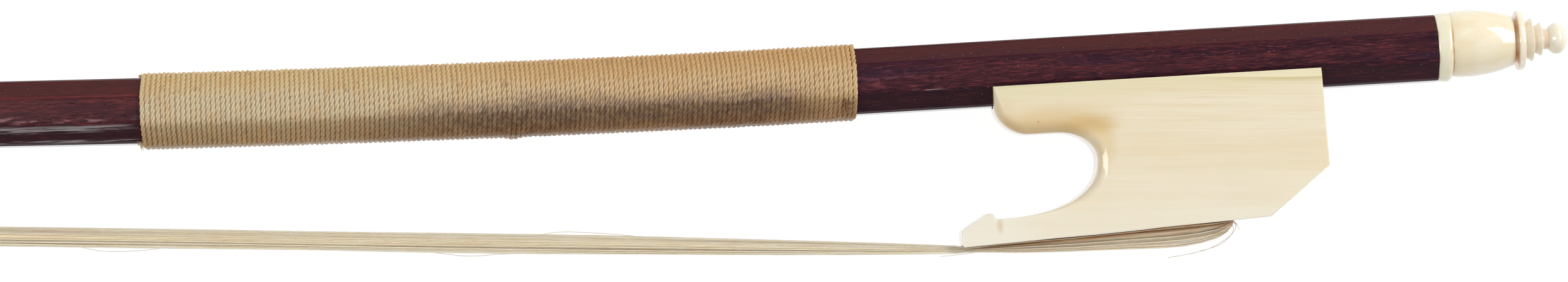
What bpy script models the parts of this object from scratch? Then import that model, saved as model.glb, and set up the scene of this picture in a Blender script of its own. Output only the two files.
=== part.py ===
"""A baroque bow for a cello or bass viol, lying on its side, in metres.

X runs along the handle towards the screw button, Y points from the hair to the stick, and Z is up.
Every piece is drawn from the rear end of the wood on the handle's axis, and hangs from one datum
empty, which brings the origin to the middle of the whole bow's footprint.
"""

import math

import bmesh
import bpy
from mathutils import Matrix, Vector

# The gap that neighbours keep, and how far a cutter runs past what it cuts
GAP = 0.0003
OVERRUN = 0.004

# Stick: octagonal, straight in the hand, then cambered and tapered to the head
HANDLE_WIDTH = 0.01015
TIP_WIDTH = 0.0070
EDGE_BREAK = 0.0004
HEEL_DISTANCE = 0.688
STRAIGHT_HANDLE = 0.100
CAMBER_RISE = 0.0358
CAMBER_POWER = 1.665
TAPER_START = 0.205
FACET_TURN = math.radians(10)
STICK_STATIONS = 34

# Head: carved in one with the stick, in the shape of a pike's head
HEAD_DROP = 0.0183
HEAD_LENGTH = 0.0300
HEAD_WIDTH = 0.0108
HEAD_THROAT = 0.0120
HEAD_EDGE = 0.0007
RIDGE_POWER = 1.6
NOSE_HEIGHT = 0.0020
NOSE_WIDTH = 0.0056
NOSE_TOP_WIDTH = 0.0024
HEAD_MORTISE_START = 0.0045
HEAD_MORTISE_LENGTH = 0.0065
HEAD_MORTISE_DEPTH = 0.0060
THROAT_STATIONS = 10
NOSE_STATIONS = 16

# Screw, its bore and the slot that the eyelet travels in
BORE_OFFSET = 0.0005
SCREW_RADIUS = 0.0013
SCREW_REACH = 0.0545
SLOT_WALL = 0.0040
EYELET_FROM_END = 0.0380
EYELET_LENGTH = 0.0045
EYELET_RADIUS = 0.0023
SHANK_RADIUS = 0.0015
SHANK_DEPTH = 0.0080
FROG_TRAVEL_BACK = 0.0080
FROG_TRAVEL_FORWARD = 0.0020
SLOT_SPARE = 0.0012

# Collar and button, turned in one material
COLLAR_RADIUS = 0.00525
COLLAR_LENGTH = 0.0022
COLLAR_ROUND = 0.0007
BARREL_RADIUS = 0.00510
BARREL_LENGTH = 0.0095
BARREL_END_RADIUS = 0.00380
BARREL_TAPER_LENGTH = 0.00665
BARREL_TAPER_POWER = 1.8
BARREL_SHOULDER = 0.00095
GROOVE_RADIUS = 0.0034
GROOVE_LENGTH = 0.0003
FLANGE_RADIUS = 0.0046
FLANGE_LENGTH = 0.0017
LARGE_RING_RADIUS = 0.00337
LARGE_RING_LENGTH = 0.0009
SMALL_RING_RADIUS = 0.00260
SMALL_RING_LENGTH = 0.0008
RING_UNDERCUT = 0.0004
NECK_RADIUS = 0.00164
NECK_LENGTH = 0.0006
BALL_RADIUS = 0.00241
BALL_LENGTH = 0.0035
SCREW_IN_BUTTON = 0.0085
BARREL_STEPS = 6

# Frog: sizes along the stick run forward from its rear face, depths run from the stick's axis
FROG_SETBACK = 0.0182
FROG_THICKNESS = 0.0130
REAR_LEAN = 0.0004
CHEEK_TOP = 0.00205
ARM_LENGTH = 0.0502
ARM_DEPTH = 0.0092
ARM_NOSE_LENGTH = 0.0049
ARM_NOSE_DEPTH = 0.0042
THROAT_BACK = 0.0351
THROAT_MIDDLE = 0.0144
THROAT_UPPER_LENGTH = 0.0061
BRANCH_TOP = 0.0229
BEAK_LENGTH = 0.0565
BEAK_PEAK = 0.0213
BEAK_PEAK_FROM_TIP = 0.0049
BEAK_NOTCH_WIDTH = 0.0008
BEAK_FACE_TOP = 0.0246
BEAK_BASE = 0.0265
REAR_FACE_BOTTOM = 0.0165
REAR_BASE = 0.0239
REAR_CHAMFER_LENGTH = 0.0093
FROG_EDGE = 0.0003
THROAT_EDGE = 0.0013
THROAT_EDGE_FADE = 0.0030
FROG_MORTISE_FRONT = 0.0158
FROG_MORTISE_LENGTH = 0.0052
FROG_MORTISE_DEPTH = 0.0065
KNOT_DEPTH = 0.0030
PLUG_INSET = 0.0002
PIECE_EDGE = 0.0003

# Hair: a ribbon that hangs slack under the frog and spreads on its way to the head
HAIR_WIDTH_FROG = 0.0100
HAIR_WIDTH_HEAD = 0.0062
HAIR_THICKNESS = 0.0005
HAIR_SPREAD = 0.0024
HAIR_HEAD_THICKNESS = 0.0007
HAIR_SLACK = 0.0060
HAIR_STATIONS = 30

# Lapping: one cord wound on the stick in front of the frog
LAPPING_END = 0.0895
LAPPING_LENGTH = 0.1110
CORD_RADIUS = 0.00035
LAPPING_WALL = 0.0004
LAPPING_STATIONS = 9
LAPPING_LOOPS = 20
POINTS_PER_LOOP = 24


def new_collection(name):
    """Makes a collection in the scene."""
    made = bpy.data.collections.new(name)
    bpy.context.scene.collection.children.link(made)
    return made


for leftover in list(bpy.data.objects):
    bpy.data.objects.remove(leftover)
PARTS = new_collection("baroque_bow")
CUTTERS = new_collection("cutters")
DATUM = bpy.data.objects.new("datum", None)
PARTS.objects.link(DATUM)


def finish(name, colour, roughness, metallic=0.0):
    """A Principled material."""
    material = bpy.data.materials.new(name)
    material.use_nodes = True
    shader = material.node_tree.nodes["Principled BSDF"]
    shader.inputs["Base Color"].default_value = (*colour, 1.0)
    shader.inputs["Roughness"].default_value = roughness
    shader.inputs["Metallic"].default_value = metallic
    return material


def ivory_finish(name):
    return finish(name, (0.83, 0.73, 0.53), 0.28)


def place(piece, parent=None, cutter=False):
    """Links a piece or a cutter into its collection, under the datum or another empty."""
    (CUTTERS if cutter else PARTS).objects.link(piece)
    piece.parent = parent or DATUM
    if cutter:
        piece.hide_render = True
        piece.display_type = "WIRE"
    return piece


def empty_at(name, place_at):
    """An empty that stands on a joint's axis."""
    made = bpy.data.objects.new(name, None)
    made.location = place_at
    return place(made)


def mesh_object(name, bm, **how):
    """Turns a bmesh into a placed object."""
    bmesh.ops.recalc_face_normals(bm, faces=bm.faces)
    mesh = bpy.data.meshes.new(name)
    bm.to_mesh(mesh)
    bm.free()
    return place(bpy.data.objects.new(name, mesh), **how)


def curve_to_mesh(curve_object, name, **how):
    """Converts a curve into a welded mesh object and removes the curve."""
    bpy.context.scene.collection.objects.link(curve_object)
    bpy.context.view_layer.update()
    evaluated = curve_object.evaluated_get(bpy.context.evaluated_depsgraph_get())
    mesh = bpy.data.meshes.new_from_object(evaluated)
    bm = bmesh.new()
    bm.from_mesh(mesh)
    bmesh.ops.remove_doubles(bm, verts=bm.verts, dist=1e-6)
    bpy.data.objects.remove(curve_object)
    return mesh_object(name, bm, **how)


def outline_solid(name, points, thickness, **how):
    """A flat outline in X and Y, with its thickness shared about Z = 0."""
    curve = bpy.data.curves.new(name, "CURVE")
    curve.dimensions = "2D"
    curve.fill_mode = "BOTH"
    curve.extrude = thickness / 2
    spline = curve.splines.new("POLY")
    spline.points.add(len(points) - 1)
    for point, (x, y) in zip(spline.points, points):
        point.co = (x, y, 0.0, 1.0)
    spline.use_cyclic_u = True
    return curve_to_mesh(bpy.data.objects.new(name + "_outline", curve), name, **how)


def box(name, low, high, edge=0.0, **how):
    """A box between two corners, with its edges broken if asked."""
    bm = bmesh.new()
    bmesh.ops.create_cube(bm, size=1.0)
    size = [b - a for a, b in zip(low, high)]
    middle = [(a + b) / 2 for a, b in zip(low, high)]
    bmesh.ops.scale(bm, vec=size, verts=bm.verts)
    bmesh.ops.translate(bm, vec=middle, verts=bm.verts)
    made = mesh_object(name, bm, **how)
    if edge:
        bevel(made, edge)
    return made


def rod(name, start, end, radius, sides=24, **how):
    """A cylinder from one point to another."""
    start = Vector(start)
    run = Vector(end) - start
    turn = run.to_track_quat("Z", "Y").to_matrix().to_4x4()
    bm = bmesh.new()
    bmesh.ops.create_cone(
        bm, cap_ends=True, segments=sides, radius1=radius, radius2=radius, depth=run.length,
        matrix=Matrix.Translation(start + run / 2) @ turn,
    )
    return mesh_object(name, bm, **how)


def bevel(piece, width, segments=1):
    modifier = piece.modifiers.new("edge", "BEVEL")
    modifier.width = width
    modifier.segments = segments
    modifier.limit_method = "ANGLE"
    modifier.angle_limit = math.radians(30)


def cut(piece, cutter, operation="DIFFERENCE"):
    modifier = piece.modifiers.new("cut_" + cutter.name, "BOOLEAN")
    modifier.operation = operation
    modifier.object = cutter
    modifier.solver = "EXACT"


def turned(name, profile, parent, steps=40):
    """A turned piece: (distance along the axis, radius) from its outer tip to its inner end."""
    bm = bmesh.new()
    verts = [bm.verts.new((radius, 0.0, along)) for along, radius in profile]
    for first, second in zip(verts, verts[1:]):
        bm.edges.new((first, second))
    mesh = bpy.data.meshes.new(name)
    bm.to_mesh(mesh)
    bm.free()
    piece = place(bpy.data.objects.new(name, mesh), parent=parent)
    screw = piece.modifiers.new("turn", "SCREW")
    screw.steps = steps
    screw.render_steps = steps
    screw.use_merge_vertices = True
    screw.merge_threshold = 1e-6
    screw.use_smooth_shade = True
    return piece


def smooth(piece, degrees=35):
    piece.data.shade_smooth()
    piece.data.set_sharp_from_angle(angle=math.radians(degrees))


def quarter_curve(centre, radii, power, start, end, steps):
    """Points of a superellipse about a centre, between two angles in degrees."""
    points = []
    for step in range(steps + 1):
        angle = math.radians(start + (end - start) * step / steps)
        across = math.copysign(abs(math.cos(angle)) ** (2 / power), math.cos(angle))
        along = math.copysign(abs(math.sin(angle)) ** (2 / power), math.sin(angle))
        points.append((centre[0] + radii[0] * across, centre[1] + radii[1] * along))
    return points


def rounded(corners, steps=4):
    """Rounds each corner (x, y, radius) of a closed outline with an arc."""
    points = []
    for index, (x, y, radius) in enumerate(corners):
        here = Vector((x, y))
        if radius == 0:
            points.append((x, y))
            continue
        back = (Vector(corners[index - 1][:2]) - here).normalized()
        ahead = (Vector(corners[(index + 1) % len(corners)][:2]) - here).normalized()
        half = back.angle(ahead) / 2
        middle = here + (back + ahead).normalized() * radius / math.sin(half)
        first = here + back * radius / math.tan(half) - middle
        last = here + ahead * radius / math.tan(half) - middle
        sweep = first.angle_signed(last)
        for step in range(steps + 1):
            turn = Matrix.Rotation(-sweep * step / steps, 2)
            points.append(tuple(middle + turn @ first))
    return points


# The stick's own shape along its length


def camber(x):
    """How far the stick's axis has risen from the handle's axis at x."""
    past = max(0.0, -x - STRAIGHT_HANDLE)
    return CAMBER_RISE * (past / (HEEL_DISTANCE - STRAIGHT_HANDLE)) ** CAMBER_POWER


def stick_slope(x):
    """The angle of the stick's axis at x, as it climbs away from the hair towards the head."""
    step = 1e-4
    return math.atan2(camber(x - step) - camber(x + step), 2 * step)


def stick_width(x):
    share = max(0.0, -x - TAPER_START) / (HEEL_DISTANCE - TAPER_START)
    return HANDLE_WIDTH + (TIP_WIDTH - HANDLE_WIDTH) * min(1.0, share)


def facet_turn(x):
    """The facets stray under the lapping and come back to the handle's line at the head."""
    turned_at = LAPPING_END + LAPPING_LENGTH
    if -x < turned_at:
        share = max(0.0, -x - LAPPING_END) / LAPPING_LENGTH
    else:
        share = max(0.0, (HEEL_DISTANCE + x) / (HEEL_DISTANCE - turned_at))
    return FACET_TURN * share * share * (3 - 2 * share)


def facet_distance(angle, half_width):
    """From the axis of a regular octagon to its face, in one direction."""
    eighth = math.pi / 4
    off_middle = (angle + eighth / 2) % eighth - eighth / 2
    return half_width / math.cos(off_middle)


def octagon_corners(half):
    """The 16 corners (up, out) of an octagon with broken edges, facet by facet from the top."""
    flat = half * math.tan(math.pi / 8) - min(EDGE_BREAK, half / 8)
    corners = []
    for facet in range(8):
        angle = facet * math.pi / 4
        for side in (-flat, flat):
            up = half * math.cos(angle) - side * math.sin(angle)
            out = half * math.sin(angle) + side * math.cos(angle)
            corners.append((up, out))
    return corners


def octagon_ring(x, width):
    """An octagon round the stick's axis at x, square to it, with its facets turned."""
    slope = stick_slope(x)
    cos_turn = math.cos(facet_turn(x))
    sin_turn = math.sin(facet_turn(x))
    ring = []
    for flat_up, flat_out in octagon_corners(width / 2):
        up = flat_up * cos_turn - flat_out * sin_turn
        out = flat_up * sin_turn + flat_out * cos_turn
        ring.append((x + up * math.sin(slope), camber(x) + up * math.cos(slope), out))
    return ring


def loft(name, rings, **how):
    """A solid through rings of as many corners each, closed at both ends."""
    bm = bmesh.new()
    rings = [[bm.verts.new(corner) for corner in ring] for ring in rings]
    for ring, following in zip(rings, rings[1:]):
        for index in range(len(ring)):
            after = (index + 1) % len(ring)
            bm.faces.new((ring[index], ring[after], following[after], following[index]))
    bm.faces.new(rings[0])
    bm.faces.new(rings[-1])
    return mesh_object(name, bm, **how)


def octagon_loft(name, stations, clearance=0.0, **how):
    """A solid between octagons at the given places along the stick."""
    rings = [octagon_ring(x, stick_width(x) + 2 * clearance) for x in stations]
    return loft(name, rings, **how)


# Head


HAIR_LEVEL_FROG = -(BEAK_BASE + GAP + HAIR_THICKNESS / 2)
BEAK_TIP = -(FROG_SETBACK + BEAK_LENGTH)
PLATE_HEEL = (-HEEL_DISTANCE, camber(-HEEL_DISTANCE) - HEAD_DROP)
HAIR_LEVEL_HEAD = PLATE_HEEL[1] - GAP - HAIR_HEAD_THICKNESS / 2
HAIR_ANGLE = math.atan2(HAIR_LEVEL_HEAD - HAIR_LEVEL_FROG, HEEL_DISTANCE + BEAK_TIP)


def on_plate(along, up):
    """A place given along the head's hair plate towards the nose, and up from the plate."""
    x = PLATE_HEEL[0] - along * math.cos(HAIR_ANGLE) + up * math.sin(HAIR_ANGLE)
    y = PLATE_HEEL[1] + along * math.sin(HAIR_ANGLE) + up * math.cos(HAIR_ANGLE)
    return x, y


def head_ring(along, bottom, top, upper_half, plate_half, opened):
    """One section of the head: an octagon above, whose lower facets open down to the plate."""
    edge = min(HEAD_EDGE, (top - bottom) / 4)
    middle = top - upper_half
    ring = []
    for index, (up, out) in enumerate(octagon_corners(upper_half)):
        up += middle
        side = math.copysign(1.0, out)
        if index in (6, 11):
            up += (bottom + edge - up) * opened
            out += (side * plate_half - out) * opened
        elif index in (7, 10):
            up += (bottom + edge / 3 - up) * opened
            out += (side * (plate_half - edge / 3) - out) * opened
        elif index in (8, 9):
            up = bottom
            out += (side * (plate_half - edge) - out) * opened
        ring.append((*on_plate(along, up), out))
    return ring


def head_rings():
    """The head's sections: down the throat to the heel of the plate, then out to the nose."""
    lean = math.tan(stick_slope(-HEEL_DISTANCE) - HAIR_ANGLE)
    half = TIP_WIDTH / 2
    under = HEAD_DROP - half - HEAD_THROAT * lean
    rings = []
    for step in range(THROAT_STATIONS + 1):
        angle = math.pi / 2 * step / THROAT_STATIONS
        along = -HEAD_THROAT * (1 - math.sin(angle))
        top = HEAD_DROP + half + along * lean
        rings.append(
            head_ring(along, under * math.cos(angle), top, half, HEAD_WIDTH / 2, math.sin(angle))
        )
    over = HEAD_DROP + half - NOSE_HEIGHT
    ridge = quarter_curve((0.0, NOSE_HEIGHT), (HEAD_LENGTH, over), RIDGE_POWER, 90, 0, NOSE_STATIONS)
    for along, top in ridge[1:]:
        share = along / HEAD_LENGTH
        upper_half = half + (NOSE_TOP_WIDTH / 2 - half) * share**2
        plate_half = (HEAD_WIDTH + (NOSE_WIDTH - HEAD_WIDTH) * share**1.6) / 2
        rings.append(head_ring(along, 0.0, top, min(upper_half, top * 0.4), plate_half, 1.0))
    return rings


def tilted_box(name, along, up, half_width, **how):
    """A box square to the head's plate."""
    made = box(name, (-along[1], up[0], -half_width), (-along[0], up[1], half_width), **how)
    made.location = (*on_plate(0.0, 0.0), 0.0)
    made.rotation_euler = (0.0, 0.0, -HAIR_ANGLE)
    return made


# Stick with its head, bore and slot


SCREW_AXIS = (0.0, BORE_OFFSET, 0.0)
SLOT_REAR = -EYELET_FROM_END + EYELET_LENGTH / 2 + FROG_TRAVEL_BACK + SLOT_SPARE
SLOT_FRONT = -EYELET_FROM_END - EYELET_LENGTH / 2 - FROG_TRAVEL_FORWARD - SLOT_SPARE
SLOT_HALF_WIDTH = EYELET_RADIUS + GAP
MORTISE_HALF_HEAD = HAIR_WIDTH_HEAD / 2 + GAP
MORTISE_HALF_FROG = HAIR_WIDTH_FROG / 2 + GAP


def make_stick():
    reach = HEEL_DISTANCE - HEAD_THROAT - HEAD_EDGE
    stations = [-reach * step / STICK_STATIONS for step in range(STICK_STATIONS)]
    rings = [octagon_ring(x, stick_width(x)) for x in stations]
    stick = loft("stick", rings + head_rings())
    stick.data.materials.append(finish("snakewood", (0.075, 0.020, 0.020), 0.35))
    bore_end = -SCREW_REACH - SLOT_SPARE
    bore = rod(
        "bore_cutter", (OVERRUN, BORE_OFFSET, 0.0), (bore_end, BORE_OFFSET, 0.0),
        SCREW_RADIUS + GAP, cutter=True,
    )
    cut(stick, bore)
    slot = box(
        "slot_cutter",
        (SLOT_FRONT, -HANDLE_WIDTH / 2 - OVERRUN, -SLOT_HALF_WIDTH),
        (SLOT_REAR, BORE_OFFSET + EYELET_RADIUS + GAP, SLOT_HALF_WIDTH),
        cutter=True,
    )
    cut(stick, slot)
    mortise_end = HEAD_MORTISE_START + HEAD_MORTISE_LENGTH
    mortise = tilted_box(
        "head_mortise_cutter", (HEAD_MORTISE_START, mortise_end),
        (-OVERRUN, HEAD_MORTISE_DEPTH), MORTISE_HALF_HEAD, cutter=True,
    )
    cut(stick, mortise)


def make_head_fittings():
    """The tied end of the hair, and the wooden plug that holds it in the head."""
    start = HEAD_MORTISE_START + GAP
    end = HEAD_MORTISE_START + HEAD_MORTISE_LENGTH - GAP
    knot_low = HEAD_MORTISE_DEPTH - GAP - KNOT_DEPTH
    half = MORTISE_HALF_HEAD - GAP
    knot = tilted_box(
        "head_hair_knot", (start, end), (knot_low, HEAD_MORTISE_DEPTH - GAP), half, edge=PIECE_EDGE
    )
    knot.data.materials.append(finish("bound_hair_head", (0.20, 0.13, 0.07), 0.8))
    plug_start = start + HAIR_HEAD_THICKNESS + GAP
    plug = tilted_box(
        "head_plug", (plug_start, end), (PLUG_INSET, knot_low - GAP), half, edge=PIECE_EDGE
    )
    plug.data.materials.append(finish("limewood_head", (0.55, 0.36, 0.19), 0.7))


# Collar, button and screw


def make_collar():
    axis = empty_at("collar_axis", (0.0, 0.0, 0.0))
    axis.rotation_euler = (0.0, math.pi / 2, 0.0)
    inner = GAP
    outer = GAP + COLLAR_LENGTH
    hole = SCREW_RADIUS + GAP + BORE_OFFSET
    edge = quarter_curve(
        (outer - COLLAR_ROUND, COLLAR_RADIUS - COLLAR_ROUND), (COLLAR_ROUND, COLLAR_ROUND), 2, 0, 90, 3
    )
    back = quarter_curve(
        (inner + COLLAR_ROUND, COLLAR_RADIUS - COLLAR_ROUND), (COLLAR_ROUND, COLLAR_ROUND), 2, 90, 180, 3
    )
    profile = [(outer, hole), *edge, *back, (inner, hole), (outer, hole)]
    collar = turned("stick_end_collar", profile, axis)
    collar.data.materials.append(ivory_finish("collar_ivory"))


def button_profile():
    """The button from the tip of its ball to its base against the collar."""
    base = GAP + COLLAR_LENGTH + GAP
    barrel_end = base + BARREL_LENGTH
    flange = barrel_end + GROOVE_LENGTH
    flange_end = flange + FLANGE_LENGTH
    large_ring = flange_end + LARGE_RING_LENGTH
    small_ring_foot = large_ring + RING_UNDERCUT
    small_ring = small_ring_foot + SMALL_RING_LENGTH
    neck_end = small_ring + NECK_LENGTH
    ball_middle = neck_end + BALL_LENGTH / 2
    lip = FLANGE_LENGTH / 2
    profile = quarter_curve((ball_middle, 0.0), (BALL_LENGTH / 2, BALL_RADIUS), 2, 0, 138, 9)
    profile += [(neck_end, NECK_RADIUS), (small_ring + GROOVE_LENGTH / 2, NECK_RADIUS)]
    profile += [(small_ring, SMALL_RING_RADIUS), (small_ring_foot, SMALL_RING_RADIUS - RING_UNDERCUT)]
    profile += [(large_ring, LARGE_RING_RADIUS), (flange_end, LARGE_RING_RADIUS - RING_UNDERCUT)]
    profile += quarter_curve((flange + lip, FLANGE_RADIUS - lip), (lip, lip), 2, 0, 180, 6)
    profile += [(flange, GROOVE_RADIUS), (barrel_end, GROOVE_RADIUS)]
    drop = BARREL_RADIUS - BARREL_END_RADIUS
    for step in range(BARREL_STEPS + 1):
        left = 1 - step / BARREL_STEPS
        x = barrel_end - BARREL_TAPER_LENGTH * (1 - left)
        profile.append((x, BARREL_RADIUS - drop * left**BARREL_TAPER_POWER))
    shoulder = (BARREL_SHOULDER, BARREL_SHOULDER / 2)
    profile += quarter_curve(
        (base + shoulder[0], BARREL_RADIUS - shoulder[1]), shoulder, 2, 90, 180, 3
    )
    profile.append((base, 0.0))
    return profile


def make_button(axis):
    button = turned("button", button_profile(), axis)
    button.data.materials.append(ivory_finish("button_ivory"))
    base = GAP + COLLAR_LENGTH + GAP
    tang_end = base + SCREW_IN_BUTTON
    hole = rod(
        "button_hole_cutter", (base - OVERRUN, BORE_OFFSET, 0.0), (tang_end + GAP, BORE_OFFSET, 0.0),
        SCREW_RADIUS + GAP, cutter=True,
    )
    cut(button, hole)
    screw = rod("screw", (0.0, 0.0, -SCREW_REACH), (0.0, 0.0, tang_end), SCREW_RADIUS, parent=axis)
    bevel(screw, PIECE_EDGE)
    smooth(screw)
    screw.data.materials.append(finish("steel", (0.45, 0.43, 0.40), 0.35, 1.0))


def make_eyelet(slide):
    """The brass eyelet: a threaded ring on the screw, with a shank down into the frog."""
    x = -EYELET_FROM_END - slide.location.x
    ring = rod(
        "eyelet", (x - EYELET_LENGTH / 2, BORE_OFFSET, 0.0), (x + EYELET_LENGTH / 2, BORE_OFFSET, 0.0),
        EYELET_RADIUS, parent=slide,
    )
    foot = -HANDLE_WIDTH / 2 - SHANK_DEPTH
    shank = rod(
        "shank_form", (x, BORE_OFFSET - SCREW_RADIUS - GAP, 0.0), (x, foot, 0.0), SHANK_RADIUS,
        parent=slide, cutter=True,
    )
    cut(ring, shank, "UNION")
    reach = EYELET_LENGTH / 2 + OVERRUN
    hole = rod(
        "eyelet_hole_cutter", (x - reach, BORE_OFFSET, 0.0), (x + reach, BORE_OFFSET, 0.0),
        SCREW_RADIUS + GAP, parent=slide, cutter=True,
    )
    cut(ring, hole)
    smooth(ring)
    ring.data.materials.append(finish("brass", (0.62, 0.42, 0.16), 0.35, 1.0))


# Frog


def frog_outline():
    """The frog from the side: (forward from its rear face, down from the stick's axis)."""
    throat_upper = quarter_curve(
        (THROAT_BACK + THROAT_UPPER_LENGTH, THROAT_MIDDLE),
        (THROAT_UPPER_LENGTH, THROAT_MIDDLE - ARM_DEPTH), 2, 270, 180, 7,
    )
    notch = BEAK_LENGTH - BEAK_PEAK_FROM_TIP - BEAK_NOTCH_WIDTH
    throat_lower = quarter_curve(
        (notch, THROAT_MIDDLE), (notch - THROAT_BACK, BRANCH_TOP - THROAT_MIDDLE), 2.3, 180, 90, 10
    )
    arm_nose = quarter_curve(
        (ARM_LENGTH - ARM_NOSE_LENGTH, ARM_DEPTH - ARM_NOSE_DEPTH),
        (ARM_NOSE_LENGTH, ARM_NOSE_DEPTH), 1.7, 0, 90, 6,
    )
    sharp = FROG_EDGE
    corners = [(REAR_LEAN, CHEEK_TOP, sharp), (ARM_LENGTH, CHEEK_TOP, sharp)]
    corners += [(x, y, 0.0) for x, y in arm_nose + throat_upper + throat_lower[1:-1]]
    corners += [
        (notch, BRANCH_TOP, sharp),
        (BEAK_LENGTH - BEAK_PEAK_FROM_TIP, BEAK_PEAK, 2 * sharp),
        (BEAK_LENGTH, BEAK_FACE_TOP, sharp),
        (BEAK_LENGTH, BEAK_BASE, sharp),
        (REAR_CHAMFER_LENGTH, REAR_BASE, sharp),
        (0.0, REAR_FACE_BOTTOM, sharp),
    ]
    return [(-forward, -down) for forward, down in rounded(corners)]


def frog_base(forward):
    """How far the frog's underside lies below the stick's axis."""
    share = (forward - REAR_CHAMFER_LENGTH) / (BEAK_LENGTH - REAR_CHAMFER_LENGTH)
    return REAR_BASE + (BEAK_BASE - REAR_BASE) * share


MORTISE_FLOOR = frog_base(FROG_MORTISE_FRONT) - FROG_MORTISE_DEPTH


def soften_frog(frog):
    """Rounds the edges: generously inside the throat and under the arm, lightly elsewhere."""
    bm = bmesh.new()
    bm.from_mesh(frog.data)
    weights = bm.edges.layers.float.new("bevel_weight_edge")
    for edge in bm.edges:
        first, second = (vertex.co for vertex in edge.verts)
        if abs(first.z - second.z) > FROG_EDGE or edge.calc_face_angle(0.0) < math.radians(30):
            continue
        forward = -(first.x + second.x) / 2
        down = -(first.y + second.y) / 2
        inside = THROAT_BACK - FROG_EDGE < forward and down < BRANCH_TOP - FROG_EDGE
        near_cheek = (down - CHEEK_TOP) / THROAT_EDGE_FADE
        near_notch = (BRANCH_TOP - down) / THROAT_EDGE_FADE
        share = min(1.0, near_cheek, near_notch) if inside else 0.0
        edge[weights] = max(FROG_EDGE / THROAT_EDGE, share)
    bm.to_mesh(frog.data)
    bm.free()
    bevel(frog, THROAT_EDGE, 3)
    frog.modifiers["edge"].limit_method = "WEIGHT"


def make_frog(slide):
    frog = outline_solid("frog", frog_outline(), FROG_THICKNESS, parent=slide)
    soften_frog(frog)
    frog.data.materials.append(ivory_finish("frog_ivory"))
    seat_ends = (-FROG_SETBACK + OVERRUN, -FROG_SETBACK - ARM_LENGTH - OVERRUN)
    cut(frog, octagon_loft("seat_cutter", seat_ends, clearance=GAP, cutter=True))
    mortise = box(
        "frog_mortise_cutter",
        (-FROG_MORTISE_FRONT, -BEAK_BASE - OVERRUN, -MORTISE_HALF_FROG),
        (-FROG_MORTISE_FRONT + FROG_MORTISE_LENGTH, -MORTISE_FLOOR, MORTISE_HALF_FROG),
        parent=slide, cutter=True,
    )
    cut(frog, mortise)
    x = -EYELET_FROM_END - slide.location.x
    foot = -HANDLE_WIDTH / 2 - SHANK_DEPTH - GAP
    shank_hole = rod(
        "shank_hole_cutter", (x, 0.0, 0.0), (x, foot, 0.0), SHANK_RADIUS + GAP, parent=slide, cutter=True
    )
    cut(frog, shank_hole)


def make_frog_fittings(slide):
    """The tied end of the hair at the top of the mortise, and the plug that wedges it."""
    front = -FROG_MORTISE_FRONT + GAP
    rear = -FROG_MORTISE_FRONT + FROG_MORTISE_LENGTH - GAP
    half = MORTISE_HALF_FROG - GAP
    knot_low = -MORTISE_FLOOR - GAP - KNOT_DEPTH
    knot = box(
        "frog_hair_knot", (front, knot_low, -half), (rear, -MORTISE_FLOOR - GAP, half),
        edge=PIECE_EDGE, parent=slide,
    )
    knot.data.materials.append(finish("bound_hair_frog", (0.20, 0.13, 0.07), 0.8))
    plug_front = front + HAIR_THICKNESS + GAP
    plug_low = -frog_base(FROG_MORTISE_FRONT - FROG_MORTISE_LENGTH) + PLUG_INSET
    plug = box(
        "frog_plug", (plug_front, plug_low, -half), (rear, knot_low - GAP, half),
        edge=PIECE_EDGE, parent=slide,
    )
    plug.data.materials.append(finish("limewood_frog", (0.55, 0.36, 0.19), 0.7))


# Hair


def hair_stations():
    """Centres and thicknesses of the ribbon from the frog's mortise to the head's."""
    exit_x = -FROG_SETBACK - FROG_MORTISE_FRONT + GAP + HAIR_THICKNESS / 2
    exit_y = -frog_base(FROG_MORTISE_FRONT)
    knot_low = -MORTISE_FLOOR - GAP - KNOT_DEPTH
    stations = [(exit_x, knot_low - GAP, HAIR_THICKNESS)]
    drop = exit_y - HAIR_LEVEL_FROG
    hang = quarter_curve((exit_x - HAIR_SLACK, exit_y), (HAIR_SLACK, drop), 2, 0, -90, 8)
    stations += [(x, y, HAIR_THICKNESS) for x, y in hang]
    start = BEAK_TIP - GAP
    stations.append((start, HAIR_LEVEL_FROG, HAIR_THICKNESS))
    head_x, head_y = on_plate(0.0, -GAP - HAIR_HEAD_THICKNESS / 2)
    for step in range(1, HAIR_STATIONS + 1):
        share = step / HAIR_STATIONS
        ends = HAIR_THICKNESS + (HAIR_HEAD_THICKNESS - HAIR_THICKNESS) * share
        swell = HAIR_SPREAD * math.sin(math.pi * share) ** 0.5
        x = start + (head_x - start) * share
        y = HAIR_LEVEL_FROG + (head_y - HAIR_LEVEL_FROG) * share
        stations.append((x, y, ends + (swell if step < HAIR_STATIONS else 0.0)))
    turn_in = HAIR_HEAD_THICKNESS
    wall = HEAD_MORTISE_START + GAP + HAIR_HEAD_THICKNESS / 2
    level = -GAP - HAIR_HEAD_THICKNESS / 2
    bend = quarter_curve((wall - turn_in, level + turn_in), (turn_in, turn_in), 2, -90, 0, 4)
    top = HEAD_MORTISE_DEPTH - 2 * GAP - KNOT_DEPTH
    for along, up in bend + [(wall, top)]:
        stations.append((*on_plate(along, up), HAIR_HEAD_THICKNESS))
    return stations


def make_hair():
    stations = hair_stations()
    upper = []
    lower = []
    for index, (x, y, thickness) in enumerate(stations):
        before = Vector(stations[max(index - 1, 0)][:2])
        after = Vector(stations[min(index + 1, len(stations) - 1)][:2])
        ahead = (after - before).normalized()
        side = Vector((ahead.y, -ahead.x)) * thickness / 2
        upper.append((x + side.x, y + side.y))
        lower.append((x - side.x, y - side.y))
    hair = outline_solid("hair_ribbon", upper + lower[::-1], HAIR_WIDTH_FROG)
    narrowing = HAIR_WIDTH_HEAD / HAIR_WIDTH_FROG
    for vertex in hair.data.vertices:
        share = min(1.0, max(0.0, (BEAK_TIP - vertex.co.x) / (HEEL_DISTANCE + BEAK_TIP)))
        vertex.co.z *= 1 + (narrowing - 1) * share
    hair.data.materials.append(finish("horsehair", (0.61, 0.50, 0.32), 0.45))


# Lapping


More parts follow.
